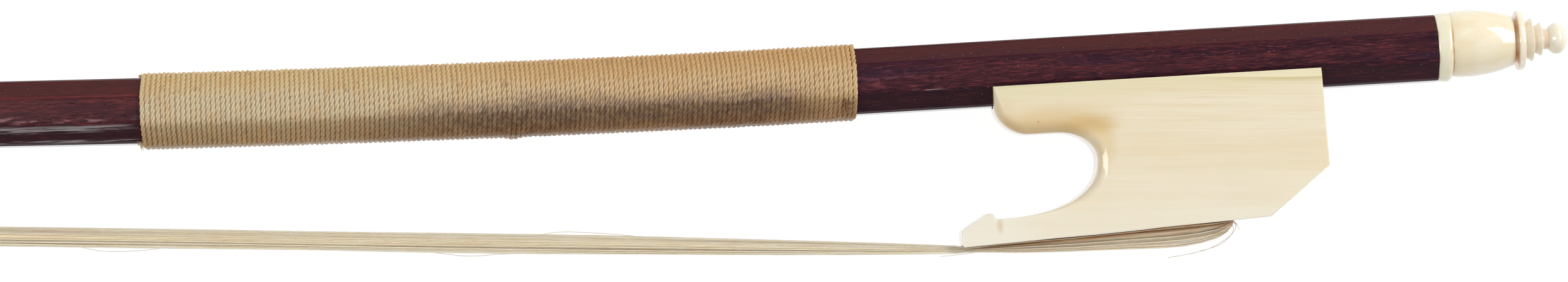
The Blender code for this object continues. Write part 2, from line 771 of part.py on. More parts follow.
def lapping_route():
    """The cord's centre line: loops that follow the octagon, with a straight tail at each end."""
    points = []
    total = LAPPING_LOOPS * POINTS_PER_LOOP
    run = LAPPING_LENGTH - 2 * CORD_RADIUS
    for step in range(total + 1):
        x = -LAPPING_END - CORD_RADIUS - run * step / total
        angle = 2 * math.pi * step / POINTS_PER_LOOP
        half = stick_width(x) / 2 + GAP + LAPPING_WALL
        reach = facet_distance(angle - facet_turn(x), half)
        points.append(Vector((x, camber(x) + reach * math.cos(angle), reach * math.sin(angle))))
    first_tail = points[0] + (points[0] - points[1]).normalized() * 2 * CORD_RADIUS
    last_tail = points[-1] + (points[-1] - points[-2]).normalized() * 2 * CORD_RADIUS
    return [first_tail, *points, last_tail]


def least_gap(points):
    """The least gap of the cord to its own other loops, measured between points."""
    apart = POINTS_PER_LOOP // 2
    least = min(
        (points[i] - points[j]).length
        for i in range(len(points))
        for j in range(i + apart, min(len(points), i + 3 * apart))
    )
    return least - 2 * CORD_RADIUS


def make_lapping():
    """The turns lie side by side: a plain sleeve stands for all of them, and the cord shows on it."""
    points = lapping_route()
    print(f"least gap of the lapping cord to itself: {least_gap(points) * 1000:.2f} mm")
    curve = bpy.data.curves.new("cord_route", "CURVE")
    curve.dimensions = "3D"
    curve.bevel_depth = CORD_RADIUS
    curve.bevel_resolution = 1
    curve.use_fill_caps = True
    spline = curve.splines.new("POLY")
    spline.points.add(len(points) - 1)
    for point, here in zip(spline.points, points):
        point.co = (*here, 1.0)
    cord = curve_to_mesh(bpy.data.objects.new("cord_route", curve), "cord_form", cutter=True)
    spacing = LAPPING_LENGTH / LAPPING_STATIONS
    stations = [-LAPPING_END - spacing * step for step in range(LAPPING_STATIONS + 1)]
    lapping = octagon_loft("lapping_cord", stations, clearance=GAP + LAPPING_WALL)
    lapping.data.materials.append(finish("hemp_cord", (0.55, 0.41, 0.22), 0.75))
    cut(lapping, cord, "UNION")
    past_ends = [-LAPPING_END + OVERRUN, *stations, -LAPPING_END - LAPPING_LENGTH - OVERRUN]
    cut(lapping, octagon_loft("lapping_bore", past_ends, clearance=GAP, cutter=True))


def set_datum():
    """Brings the origin to the bottom centre of the box round the whole bow."""
    bpy.context.view_layer.update()
    depsgraph = bpy.context.evaluated_depsgraph_get()
    corners = []
    for piece in PARTS.objects:
        if piece.type == "EMPTY":
            continue
        evaluated = piece.evaluated_get(depsgraph)
        mesh = evaluated.to_mesh()
        corners += [evaluated.matrix_world @ vertex.co for vertex in mesh.vertices]
        evaluated.to_mesh_clear()
    low = Vector([min(corner[axis] for corner in corners) for axis in range(3)])
    high = Vector([max(corner[axis] for corner in corners) for axis in range(3)])
    DATUM.location = (-(low.x + high.x) / 2, -(low.y + high.y) / 2, -low.z)
    print("the rear end of the wood lies at", [round(value, 6) for value in DATUM.location])
    print("the whole bow measures", [round(value, 5) for value in high - low])


make_stick()
make_head_fittings()
make_collar()
BUTTON_AXIS = empty_at("button_axis", SCREW_AXIS)
BUTTON_AXIS.rotation_euler = (0.0, math.pi / 2, 0.0)
make_button(BUTTON_AXIS)
FROG_SLIDE = empty_at("frog_slide", (-FROG_SETBACK, 0.0, 0.0))
make_frog(FROG_SLIDE)
make_frog_fittings(FROG_SLIDE)
make_eyelet(FROG_SLIDE)
make_hair()
make_lapping()
set_datum()
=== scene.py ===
"""The looks of a baroque bow for a cello or bass viol, lying on its side.

X runs along the stick from the head to the screw button, Y from the hair to the stick, and Z is up.
Sizes are in metres. A place on the bow is given from the wood's rear end, on the handle's axis.
"""

import contextlib
import math
import random

import bpy
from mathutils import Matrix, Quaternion, Vector


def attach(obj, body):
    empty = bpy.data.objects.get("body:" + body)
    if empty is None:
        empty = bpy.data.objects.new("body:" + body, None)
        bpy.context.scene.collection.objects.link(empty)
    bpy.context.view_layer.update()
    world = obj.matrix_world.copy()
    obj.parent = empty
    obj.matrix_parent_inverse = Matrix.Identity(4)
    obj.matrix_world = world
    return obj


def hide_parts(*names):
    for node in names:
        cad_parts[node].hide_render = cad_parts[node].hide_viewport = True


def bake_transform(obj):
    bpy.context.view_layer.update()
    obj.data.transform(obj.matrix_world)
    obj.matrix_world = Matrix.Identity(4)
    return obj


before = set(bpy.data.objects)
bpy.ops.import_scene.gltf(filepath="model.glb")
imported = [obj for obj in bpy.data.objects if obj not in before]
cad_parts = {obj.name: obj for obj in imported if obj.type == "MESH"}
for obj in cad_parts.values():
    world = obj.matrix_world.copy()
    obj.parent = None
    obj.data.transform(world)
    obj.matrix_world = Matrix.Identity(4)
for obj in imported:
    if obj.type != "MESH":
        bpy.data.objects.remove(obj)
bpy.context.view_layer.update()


# Camera: it looks straight down on the bow as it lies, from a little to the hair's side, and is
# turned a little so that the stick climbs to the right.
PICTURE_TURN = math.radians(3.333)
CAMERA_TILT = math.radians(-0.9)
CAMERA_DISTANCE = 0.7767
CAMERA_TARGET = Vector((0.24737, -0.01441, 0.0065))

bpy.ops.object.select_all(action="DESELECT")
picture_up = Vector((math.sin(PICTURE_TURN), math.cos(PICTURE_TURN), 0.0))
stand_off = picture_up * math.sin(CAMERA_TILT) + Vector((0.0, 0.0, math.cos(CAMERA_TILT)))
bpy.ops.object.camera_add(
    location=CAMERA_TARGET + stand_off * CAMERA_DISTANCE,
    rotation=(-CAMERA_TILT, 0.0, -PICTURE_TURN),
)
camera = bpy.context.object
camera.data.lens = 115.2
camera.data.sensor_width = 36.0
camera.data.clip_start = 0.01
bpy.context.scene.camera = camera


# Stick: one rod of snakewood with its head carved on, planed by hand to eight facets, bent over
# heat, oiled and rubbed. Dark red-brown, with red streaks, black pores and polish worn in places.
# Sheen, shade, reflections and a highlight on its facets are painted into its colour.
WOOD_END = Vector((0.348712, -0.005972, 0.0065))
HANDLE_WIDTH = 0.01015
STRAIGHT_HANDLE = 0.100
CAMBER_RISE = 0.0358
CAMBER_REACH = 0.588
CAMBER_POWER = 1.665
HEEL = STRAIGHT_HANDLE + CAMBER_REACH
FACET_TURN = math.radians(10)
FACET_ROLL = math.radians(-3)
ARRIS_WIDTH = 0.00012
LAPPING_END = 0.0895
LAPPING_LENGTH = 0.1110


def at(along, up, out=0.0):
    """A place on the bow: towards the button, away from the hair, and out of the upper side."""
    return WOOD_END + Vector((along, up, out))


def camber(along):
    """How far the stick has risen from the handle's axis."""
    past = max(0.0, -along - STRAIGHT_HANDLE)
    return CAMBER_RISE * (past / CAMBER_REACH) ** CAMBER_POWER


def facet_turn(along):
    """How far the facets of the rough stick stray, under the lapping and on towards the head."""
    turned_at = LAPPING_END + LAPPING_LENGTH
    if -along < turned_at:
        share = max(0.0, -along - LAPPING_END) / LAPPING_LENGTH
    else:
        share = max(0.0, (HEEL + along) / (HEEL - turned_at))
    return FACET_TURN * share * share * (3 - 2 * share)


def facet_roll(along):
    """The planed facets are rolled a little to the hair's side, and true again at the head."""
    return FACET_ROLL * min(1.0, max(0.0, (HEEL + along) / 0.1))


def true_facets(piece):
    """Turns each section of the rough stick to where the finished facets lie."""
    for vertex in piece.data.vertices:
        along = vertex.co.x - WOOD_END.x
        if -along < HEEL:
            middle = at(along, camber(along))
            turn = facet_roll(along) - facet_turn(along)
            up, out = vertex.co.y - middle.y, vertex.co.z - middle.z
            vertex.co.y = middle.y + up * math.cos(turn) - out * math.sin(turn)
            vertex.co.z = middle.z + up * math.sin(turn) + out * math.cos(turn)


def pick(piece):
    """Selects one piece alone and makes it the active one."""
    bpy.ops.object.select_all(action="DESELECT")
    piece.select_set(True)
    bpy.context.view_layer.objects.active = piece


@contextlib.contextmanager
def edit_mode():
    """Edits the active piece, with all of it selected."""
    bpy.ops.object.mode_set(mode="EDIT")
    bpy.ops.mesh.select_all(action="SELECT")
    yield
    bpy.ops.object.mode_set(mode="OBJECT")


def modify(piece, kind, **settings):
    """Gives a piece one modifier and applies it."""
    modifier = piece.modifiers.new(kind.lower(), kind)
    for name, value in settings.items():
        setattr(modifier, name, value)
    pick(piece)
    bpy.ops.object.modifier_apply(modifier=modifier.name)


def worked_copy(node, name):
    """A copy of a node of the frame with its loose triangles joined, ready to be worked finer."""
    piece = bpy.data.objects.new(name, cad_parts[node].data.copy())
    bpy.context.scene.collection.objects.link(piece)
    piece.data.materials.clear()
    pick(piece)
    if piece.data.has_custom_normals:
        bpy.ops.mesh.customdata_custom_splitnormals_clear()
    with edit_mode():
        bpy.ops.mesh.remove_doubles(threshold=1e-6)
        bpy.ops.mesh.dissolve_limited(angle_limit=math.radians(0.5))
    return piece


def smooth(piece, degrees):
    """Shades a piece smooth, with sharp edges kept and broad faces flat."""
    pick(piece)
    bpy.ops.object.shade_smooth_by_angle(angle=math.radians(degrees))
    modify(piece, "WEIGHTED_NORMAL", keep_sharp=True)


class Wire:
    """A socket of a shader that takes part in arithmetic."""

    def __init__(self, look, socket):
        self.look = look
        self.socket = socket

    def work(self, operation, *values):
        """One step of arithmetic."""
        return self.look.node("ShaderNodeMath", {"operation": operation}, dict(enumerate(values)))

    def __add__(self, other):
        return self.work("ADD", self, other)

    def __sub__(self, other):
        return self.work("SUBTRACT", self, other)

    def __rsub__(self, other):
        return self.work("SUBTRACT", other, self)

    def __mul__(self, other):
        return self.work("MULTIPLY", self, other)

    def __truediv__(self, other):
        return self.work("DIVIDE", self, other)

    def __pow__(self, other):
        return self.work("POWER", self, other)

    __radd__ = __add__
    __rmul__ = __mul__


class Look:
    """A finish on one Principled shader, built up node by node."""

    def __init__(self, name, **constants):
        self.material = bpy.data.materials.new(name)
        self.material.use_nodes = True
        self.tree = self.material.node_tree
        self.shader = self.tree.nodes["Principled BSDF"]
        for socket, value in constants.items():
            self.shader.inputs[self.socket_name(socket)].default_value = value

    @staticmethod
    def socket_name(word):
        return word.replace("_", " ").title().replace("Ior", "IOR")

    def node(self, kind, settings=None, inputs=None, output=0):
        made = self.tree.nodes.new(kind)
        for name, value in (settings or {}).items():
            setattr(made, name, value)
        for key, value in (inputs or {}).items():
            if isinstance(value, Wire):
                self.tree.links.new(value.socket, made.inputs[key])
            else:
                made.inputs[key].default_value = value
        return Wire(self, made.outputs[output])

    def where(self, scale=(1.0, 1.0, 1.0), shift=(0.0, 0.0, 0.0), turn=0.0, source="Object"):
        """Coordinates on the piece, shifted, turned about Z and stretched."""
        place = self.node("ShaderNodeTexCoord", output=source)
        moved = self.node(
            "ShaderNodeMapping", {"vector_type": "POINT"},
            {"Vector": place, "Location": shift, "Rotation": (0.0, 0.0, turn)},
        )
        return self.node(
            "ShaderNodeVectorMath", {"operation": "MULTIPLY"}, {0: moved, 1: scale}
        )

    def axes(self, vector):
        split = self.tree.nodes.new("ShaderNodeSeparateXYZ")
        self.tree.links.new(vector.socket, split.inputs[0])
        return [Wire(self, output) for output in split.outputs]

    def place(self):
        """How far a point lies along, up and out from the wood's rear end, as for at()."""
        return self.axes(self.where(shift=-WOOD_END))

    def height(self, along, up):
        """How far a point lies up from the axis of the cambered stick."""
        past = along.work("MAXIMUM", -STRAIGHT_HANDLE - along, 0.0)
        return up - (past / CAMBER_REACH) ** CAMBER_POWER * CAMBER_RISE

    def noise(self, place, detail=3.0, roughness=0.55, distortion=0.0, **moved):
        """Clouds. Their place is a wire, or how many there are to a metre along, up and out."""
        if not isinstance(place, Wire):
            place = self.where(place, **moved)
        return self.node(
            "ShaderNodeTexNoise", {},
            {"Vector": place, "Scale": 1.0, "Detail": detail, "Roughness": roughness,
             "Distortion": distortion},
        )

    def step(self, value, low, high, smallest=0.0, largest=1.0):
        """Rises smoothly from one value to another while the input goes from low to high."""
        return self.node(
            "ShaderNodeMapRange", {"interpolation_type": "SMOOTHSTEP"},
            {0: value, 1: low, 2: high, 3: smallest, 4: largest},
        )

    def between(self, value, low, high, soft):
        """1 between two values, fading out over a soft border."""
        rise = self.step(value, low - soft, low + soft)
        return rise * self.step(value, high - soft, high + soft, 1.0, 0.0)

    def mix(self, share, first, second):
        return self.node(
            "ShaderNodeMix", {"data_type": "RGBA"}, {0: share, 6: first, 7: second}, output=2
        )

    def layers(self, colour, *coats):
        """Colours laid over one another, each with its share: (share, red, green, blue)."""
        for share, *tone in coats:
            colour = self.mix(share, colour, tint(*tone))
        return colour

    def bump(self, height, distance, strength=1.0, over=None):
        inputs = {"Height": height, "Distance": distance, "Strength": strength}
        if over:
            inputs["Normal"] = over
        return self.node("ShaderNodeBump", {}, inputs)

    def wear(self, **sockets):
        """Links what varies over the surface to the shader, and gives the finish."""
        for socket, wire in sockets.items():
            self.tree.links.new(wire.socket, self.shader.inputs[self.socket_name(socket)])
        return self.material


def tint(red, green, blue):
    """A colour as the eye sees it, 0 to 255, made linear."""
    return (*[(value / 255) ** 2.2 for value in (red, green, blue)], 1.0)


def snakewood():
    look = Look("oiled_snakewood", specular_ior_level=0.08, coat_roughness=0.10)
    along, up, out = look.place()
    height = look.height(along, up)
    front = look.step(out, 0.0038, 0.0048)
    facing = look.axes(look.node("ShaderNodeTexCoord", output="Normal"))[1]
    toward_head = look.step(along, -0.10, -0.20)
    past_lapping = look.step(along, -0.1995, -0.2035)

    fine_sway = look.noise((500.0, 900.0, 900.0), 1.0, 0.5, shift=(0.0, 0.2, 0.0)) - 0.5
    sway = look.noise((150.0, 300.0, 300.0), 2.0, 0.5) - 0.5 + fine_sway * 0.35

    def grain(finely, across, shift, detail, roughness, swing):
        """Fibres drawn out along the stick, and swayed a little up and down."""
        straight = look.where((finely, across, across), shift=shift)
        bend = look.node("ShaderNodeCombineXYZ", {}, {1: sway * swing, 2: sway * swing})
        swayed = look.node("ShaderNodeVectorMath", {"operation": "ADD"}, {0: straight, 1: bend})
        return look.noise(swayed, detail, roughness)

    fibres = grain(380.0, 7200.0, (0.0, 0.0, 0.0), 3.0, 0.6, 5.0)
    streaks = grain(90.0, 2400.0, (0.3, 0.0, 0.1), 3.0, 0.55, 2.0)
    bands = grain(14.0, 420.0, (0.1, 0.3, 0.2), 2.0, 0.5, 0.6)
    flecks = look.noise((1100.0, 6500.0, 6500.0), 2.0, 0.6)
    blue = look.noise((34.0, 330.0, 330.0), 2.0, 0.5, shift=(0.0, 0.5, 0.1))
    rows = look.noise((9.0, 1300.0, 1300.0), 1.0, 0.5, shift=(0.7, 0.0, 0.4))
    pores = look.noise((900.0, 9000.0, 9000.0), 1.0, 0.4, shift=(0.02, 0.0, 0.0))
    chalk = look.noise((4200.0, 9500.0, 9500.0), 0.0, shift=(0.5, 0.0, 0.0))
    patches = look.noise((210.0, 900.0, 900.0), 4.0, 0.62, 0.6)
    dashes = look.noise((420.0, 6500.0, 6500.0), 2.0, 0.5, shift=(0.2, 0.0, 0.0))
    reflection_breakup = look.noise((75.0, 2600.0, 2600.0), 3.0, 0.6, shift=(0.4, 0.1, 0.0))
    smears = look.noise((260.0, 1500.0, 1500.0), 3.0, 0.6, shift=(0.6, 0.2, 0.0))

    dark_wood = look.mix(toward_head, tint(55, 31, 41), tint(63, 35, 40))
    light_wood = look.mix(toward_head, tint(71, 38, 44), tint(81, 42, 45))
    red = look.step(fibres, 0.46, 0.68) * look.step(streaks, 0.36, 0.62, 0.35, 1.0)
    pore_marks = look.step(pores, 0.66, 0.72) * look.step(rows, 0.48, 0.62)
    arris = look.between(height, -0.0020, -0.0017, 0.0002) * look.step(along, -0.2, -0.205)
    chalk_marks = look.step(chalk + arris * 0.03, 0.82, 0.85) * look.step(rows + arris, 0.50, 0.62)
    handled = look.between(along, -0.0890, -0.0765, 0.004) * front
    handled = handled * look.between(height, -0.0012, 0.0016, 0.0007)
    scuffed = look.between(along, -0.0805, -0.0725, 0.0015)
    scuffed = scuffed * look.between(height, -0.0020, -0.0017, 0.00012)
    # Painted reflections: grey-white streaks along the lower arris, and a line low on the lower
    # facet, towards the head, broken up by noise.
    low_reflection_line = look.between(height, -0.0046, -0.0042, 0.00015)
    painted_reflection = look.between(height, -0.0031, -0.0021, 0.00020) + low_reflection_line
    painted_reflection = painted_reflection * past_lapping * look.step(out, 0.0, 0.002)
    smeared = look.between(height, -0.0016, -0.0007, 0.0004) * past_lapping * front
    # Painted highlight: a reddish line along the arris above the front facet, towards the head.
    painted_arris_highlight = look.between(height, 0.0023, 0.0026, 0.00012) * toward_head
    colour = look.layers(
        look.mix(look.step(bands, 0.38, 0.62), dark_wood, light_wood),
        (red * 0.62, 132, 62, 64),
        (look.step(streaks, 0.50, 0.34) * 0.42, 46, 26, 37),
        (look.step(fibres, 0.48, 0.34) * 0.42, 34, 19, 27),
        (look.step(flecks, 0.54, 0.68) * 0.45, 40, 24, 34),
        (look.step(blue, 0.54, 0.66) * 0.55, 50, 34, 52),
        # Painted sheen and shade: facets that face up are tinted redder, and those that face down
        # darker, for how the light falls on them.
        (look.step(facing, 0.35, 0.60) * 0.68, 76, 27, 23),
        (look.step(facing, -0.30, -0.55) * 0.58, 42, 27, 36),
        (pore_marks * 0.85, 18, 10, 13),
        (chalk_marks * 0.65, 196, 180, 182),
        (handled * look.step(patches, 0.46, 0.60) * 0.50, 128, 72, 80),
        (scuffed * look.step(dashes, 0.54, 0.62) * 0.60, 166, 152, 138),
        (painted_reflection * look.step(reflection_breakup, 0.42, 0.58) * 0.80, 158, 150, 152),
        (smeared * look.step(smears, 0.50, 0.62) * 0.58, 158, 118, 122),
        (painted_arris_highlight * 0.45, 118, 60, 58),
    )
    roughness = look.step(streaks, 0.35, 0.65, 0.30, 0.46)
    relief = look.bump(fibres, 0.00003, 0.5)
    relief = look.bump(pore_marks * -1.0, 0.00008, 0.8, over=relief)
    polish = look.step(facing, -0.90, -0.97, 0.12, 1.0)
    return look.wear(base_color=colour, roughness=roughness, coat_weight=polish, normal=relief)


stick = worked_copy("stick", "octagonal_stick")
true_facets(stick)
modify(
    stick, "BEVEL", width=ARRIS_WIDTH, segments=2, limit_method="ANGLE",
    angle_limit=math.radians(15), use_clamp_overlap=True,
)
smooth(stick, 40)
stick.data.materials.append(snakewood())
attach(stick, "stick")
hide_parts("stick")


# Collar: an ivory ring turned on the lathe and glued to the rear end of the wood, where it keeps
# the end grain from the button. Its rim is rounded over on both sides.
FIT_GAP = 0.0003
COLLAR_RADIUS = 0.00535
COLLAR_LENGTH = 0.0022
COLLAR_ROUND = 0.00095
SCREW_RADIUS = 0.0013
COLLAR_FOOT = 0.0001
COLLAR_EDGE = (0.0003, 0.0002)
COLLAR_EDGE_RADIUS = COLLAR_RADIUS - 0.00032
LATHE_SIDES = 96


def arc(centre, radii, start, end, steps, power=2):
    """Points on an ellipse, or on a squared-off one, between two angles in degrees."""
    points = []
    for step in range(steps + 1):
        turn = math.radians(start + (end - start) * step / steps)
        off = [
            radius * math.copysign(abs(side) ** (2 / power), side)
            for radius, side in zip(radii, (math.cos(turn), math.sin(turn)))
        ]
        points.append((centre[0] + off[0], centre[1] + off[1]))
    return points


def added(add, name, **settings):
    """A new primitive, selected alone, with its place in its mesh."""
    bpy.ops.object.select_all(action="DESELECT")
    add(**settings)
    piece = bpy.context.object
    piece.name = name
    bpy.ops.object.transform_apply()
    return piece


def turned(name, profile, axis_up):
    """Turned on the lathe: a hoop, drawn out along the axis and opened or closed at each step.

    The profile gives the distance from the wood's end, the radius, and how far that hoop is off
    the axis, upwards.
    """
    profile = [(*hoop, 0.0)[:3] for hoop in profile]
    along, radius, lift = profile[0]
    piece = added(
        bpy.ops.mesh.primitive_circle_add, name, vertices=LATHE_SIDES, radius=radius,
        location=at(along, axis_up + lift), rotation=(0.0, math.pi / 2, 0.0),
    )
    with edit_mode():
        for next_along, next_radius, next_lift in profile[1:]:
            move = {"value": (next_along - along, next_lift - lift, 0.0)}
            bpy.ops.mesh.extrude_region_move(TRANSFORM_OT_translate=move)
            growth = next_radius / radius
            middle = at(next_along, axis_up + next_lift)
            bpy.ops.transform.resize(value=(1.0, growth, growth), center_override=middle)
            along, radius, lift = next_along, next_radius, next_lift
        bpy.ops.mesh.select_all(action="SELECT")
        bpy.ops.mesh.remove_doubles(threshold=1e-7)
        bpy.ops.mesh.normals_make_consistent(inside=False)
    return piece


def ivory(name, coat_weight, coat_roughness):
    """Ivory lets light a little way in, under its polish."""
    return Look(
        name, specular_ior_level=0.35, coat_weight=coat_weight, coat_roughness=coat_roughness,
        subsurface_weight=0.22, subsurface_scale=0.0018, subsurface_radius=(1.0, 0.78, 0.55),
    )


def turned_ivory(name, warm, pale, groove_shade):
    """Polished ivory with turning lines too fine to feel, and painted shade in its grooves and
    beside its rims.
    """
    look = ivory(name, 1.0, 0.0)
    rings = look.noise((2600.0, 60.0, 60.0), 2.0, 0.5)
    clouds = look.noise((140.0, 240.0, 240.0), 3.0, 0.5)
    grain = look.noise((70.0, 2300.0, 2300.0), 3.0, 0.6)
    along, up, out = look.place()
    colour = look.layers(
        look.mix(look.step(clouds, 0.35, 0.68), pale, warm),
        (look.step(grain, 0.52, 0.74) * 0.22, 232, 212, 172),
        (look.step(along, 0.0126, 0.0130) * 0.45, 238, 233, 220),
    )
    uneven = look.step(look.noise((200.0, 420.0, 420.0), 2.0), 0.30, 0.62, 0.35, 1.0)
    low = look.step(up, 0.0042, 0.0022)
    # Painted shade: golden brown laid into the grooves and beside the rims, some of it on the lower
    # half only.
    for start, end, soft, strength, low_only in groove_shade:
        mark = look.between(along, start, end, soft) * uneven
        if low_only:
            mark = mark * low
        colour = look.mix(mark * strength, colour, tint(214, 156, 84))
    roughness = look.step(clouds, 0.3, 0.7, 0.30, 0.42)
    relief = look.bump(rings, 0.000004, 0.3)
    return look.wear(base_color=colour, roughness=roughness, normal=relief)


collar_lip = FIT_GAP + COLLAR_LENGTH - COLLAR_FOOT
collar_bore = SCREW_RADIUS + FIT_GAP + 0.0005
collar_profile = [(COLLAR_FOOT, collar_bore), (COLLAR_FOOT, COLLAR_EDGE_RADIUS)]
collar_profile += arc((COLLAR_FOOT + COLLAR_EDGE[0], COLLAR_EDGE_RADIUS), COLLAR_EDGE, 170, 90, 5)
collar_profile += [(collar_lip - COLLAR_ROUND - 0.0001, COLLAR_RADIUS)]
for step in range(13):
    turn = math.radians(90 - 90 * step / 12)
    sunk = COLLAR_ROUND * 0.48 * (1 - math.sin(turn))
    collar_profile.append(
        (collar_lip - COLLAR_ROUND * (1 - math.cos(turn)), COLLAR_RADIUS - sunk, sunk)
    )
collar_profile += [(collar_lip, collar_bore), (COLLAR_FOOT, collar_bore)]
collar = turned("ivory_collar", collar_profile, 0.0001)
smooth(collar, 40)
collar.data.materials.append(
    turned_ivory(
        "collar_ivory", tint(236, 227, 196), tint(241, 235, 210),
        # Painted shade along the seam between collar and button, on its lower half.
        [(collar_lip - 0.00022, collar_lip + 0.0002, 0.00012, 0.70, True)],
    )
)
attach(collar, "stick")
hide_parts("stick_end_collar")


# Button: turned from one piece of ivory, with a barrel for the fingers, a flange in a deep groove,
# two sharp discs and a ball, and bored for the screw that is fixed in it. It turns on the collar.
BORE_OFFSET = 0.0005
BARREL_RADIUS = 0.00513
BARREL_LENGTH = 0.00968
BARREL_END_RADIUS = 0.00380
BARREL_TAPER_LENGTH = 0.00665
BARREL_TAPER_POWER = 1.8
BARREL_SHOULDER = 0.0015
BARREL_SHOULDER_DROP = 0.0002
GROOVE_RADIUS = 0.00335
GROOVE_LENGTH = 0.00052
FLANGE_RADIUS = 0.0046
FLANGE_LENGTH = 0.00108
FLANGE_ROUND = 0.00026
FLANGE_CROWN = 0.0018
LARGE_DISC_RADIUS = 0.00337
LARGE_DISC_START = 0.00262
LARGE_DISC_LENGTH = 0.00138
SMALL_DISC_RADIUS = 0.00260
SMALL_DISC_START = 0.00212
SMALL_DISC_LENGTH = 0.00100
DISC_UNDERCUT = 0.00042
NECK_RADIUS = 0.00160
NECK_LENGTH = 0.00022
BALL_RADIUS = 0.00241
BALL_LENGTH = 0.0035
RIM = 0.00009
NEARLY_NOTHING = 0.00002
BORE_DEPTH = 0.0085

button_foot = collar_lip + 0.00001
barrel_end = button_foot + BARREL_LENGTH
flange_foot = barrel_end + GROOVE_LENGTH
flange_end = flange_foot + FLANGE_LENGTH
large_disc = flange_end + LARGE_DISC_LENGTH
small_disc_foot = large_disc + DISC_UNDERCUT
small_disc = small_disc_foot + SMALL_DISC_LENGTH
neck_foot = small_disc + DISC_UNDERCUT
ball_middle = neck_foot + NECK_LENGTH + BALL_LENGTH / 2
bore_radius = SCREW_RADIUS + FIT_GAP

button_profile = [(button_foot + BORE_DEPTH, edge) for edge in (NEARLY_NOTHING, bore_radius)]
button_profile += [(button_foot, bore_radius)]
button_profile += arc(
    (button_foot + RIM, BARREL_RADIUS - BARREL_SHOULDER_DROP - RIM), (RIM, RIM), 180, 100, 4
)
for step in range(1, 13):
    share = step / 12
    rise = BARREL_SHOULDER_DROP * math.sin(share * math.pi / 2)
    left = button_foot + RIM + (BARREL_SHOULDER - RIM) * share
    button_profile.append((left, BARREL_RADIUS - BARREL_SHOULDER_DROP + rise))
for step in range(1, 29):
    share = step / 28
    left = barrel_end - BARREL_TAPER_LENGTH * (1 - share)
    drop = (BARREL_RADIUS - BARREL_END_RADIUS) * share**BARREL_TAPER_POWER
    button_profile.append((left, BARREL_RADIUS - drop))
button_profile += [(barrel_end + RIM / 2, BARREL_END_RADIUS - RIM)]
button_profile += [(barrel_end + RIM, GROOVE_RADIUS), (flange_foot, GROOVE_RADIUS + 0.0001)]
flange_edge = FLANGE_RADIUS - FLANGE_ROUND
button_profile += arc(
    (flange_foot + FLANGE_ROUND, flange_edge), (FLANGE_ROUND, FLANGE_ROUND), 175, 90, 8
)
for step in range(1, 8):
    past = (FLANGE_LENGTH - 2 * FLANGE_ROUND + 0.0001) * step / 7
    crown_drop = past**2 / (2 * FLANGE_CROWN)
    button_profile.append((flange_foot + FLANGE_ROUND + past, FLANGE_RADIUS - crown_drop))
button_profile += arc(
    (flange_end - FLANGE_ROUND, flange_edge - crown_drop), (FLANGE_ROUND, FLANGE_ROUND), 66, 0, 7
)
button_profile += [(flange_end, LARGE_DISC_START)]
for start, foot, length, radius, end in (
    (LARGE_DISC_START, flange_end, LARGE_DISC_LENGTH, LARGE_DISC_RADIUS, SMALL_DISC_START),
    (SMALL_DISC_START, small_disc_foot, SMALL_DISC_LENGTH, SMALL_DISC_RADIUS, NECK_RADIUS),
):
    for step in range(1, 9):
        share = step / 9
        grown = start + (radius - start) * share**1.25
        button_profile.append((foot + (length - RIM) * share, grown))
    button_profile += [(foot + length - RIM, radius), (foot + length, radius - RIM * 0.8)]
    button_profile += [(foot + length + DISC_UNDERCUT * 0.45, (radius + end) / 2 - RIM)]
    button_profile += [(foot + length + DISC_UNDERCUT, end)]
button_profile += arc((ball_middle, 0.0), (BALL_LENGTH / 2, BALL_RADIUS), 139, 2, 28)
button_profile += [(ball_middle + BALL_LENGTH / 2, NEARLY_NOTHING)]

button = turned("ivory_button", button_profile, BORE_OFFSET)
smooth(button, 34)
button.data.materials.append(
    turned_ivory(
        "button_ivory", tint(240, 224, 188), tint(246, 236, 212),
        [
            # Painted shade: at the collar seam on the lower half, in the groove before the flange,
            # and at the foot of each disc and of the ball.
            (button_foot - 0.0002, button_foot + 0.0001, 0.0001, 0.60, True),
            (barrel_end, flange_foot + 0.0001, 0.0002, 1.0, False),
            (flange_end - 0.0001, flange_end + 0.0006, 0.0004, 0.25, False),
            (large_disc + 0.0001, small_disc_foot + 0.0003, 0.0003, 0.30, False),
            (small_disc + 0.0001, neck_foot + 0.0006, 0.0004, 0.30, False),
        ],
    )
)
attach(button, "button")
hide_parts("button")


# Screw and eyelet: a plain steel screw held in the button, and the brass nut that it draws along
# the slot in the stick, with its shank screwed into the frog. Both are worn bright where they rub.
SCREW_PITCH = 0.0008


def turned_metal(name, worn, dull, pitch):
    look = Look(name, metallic=1.0)
    along = look.axes(look.where())[0]
    thread = along.work("PINGPONG", along, pitch / 2) / (pitch / 2)
    stains = look.noise((700.0, 900.0, 900.0), 4.0, 0.6)
    colour = look.layers(
        look.mix(look.step(stains, 0.4, 0.65), tint(*worn), tint(*dull)),
        ((1.0 - thread) * 0.4, 60, 50, 42),
    )
    roughness = look.step(stains, 0.35, 0.7, 0.28, 0.5)
    relief = look.bump(thread, 0.0002, 0.8)
    return look.wear(base_color=colour, roughness=roughness, normal=relief)


def refinish(node, material):
    """Gives a node of the frame its finish."""
    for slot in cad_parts[node].material_slots:
        slot.material = material


refinish("screw", turned_metal("screw_steel", (190, 186, 178), (120, 112, 104), SCREW_PITCH))
brass = turned_metal("eyelet_brass", (214, 176, 96), (150, 112, 58), SCREW_PITCH * 2)
refinish("eyelet", brass)


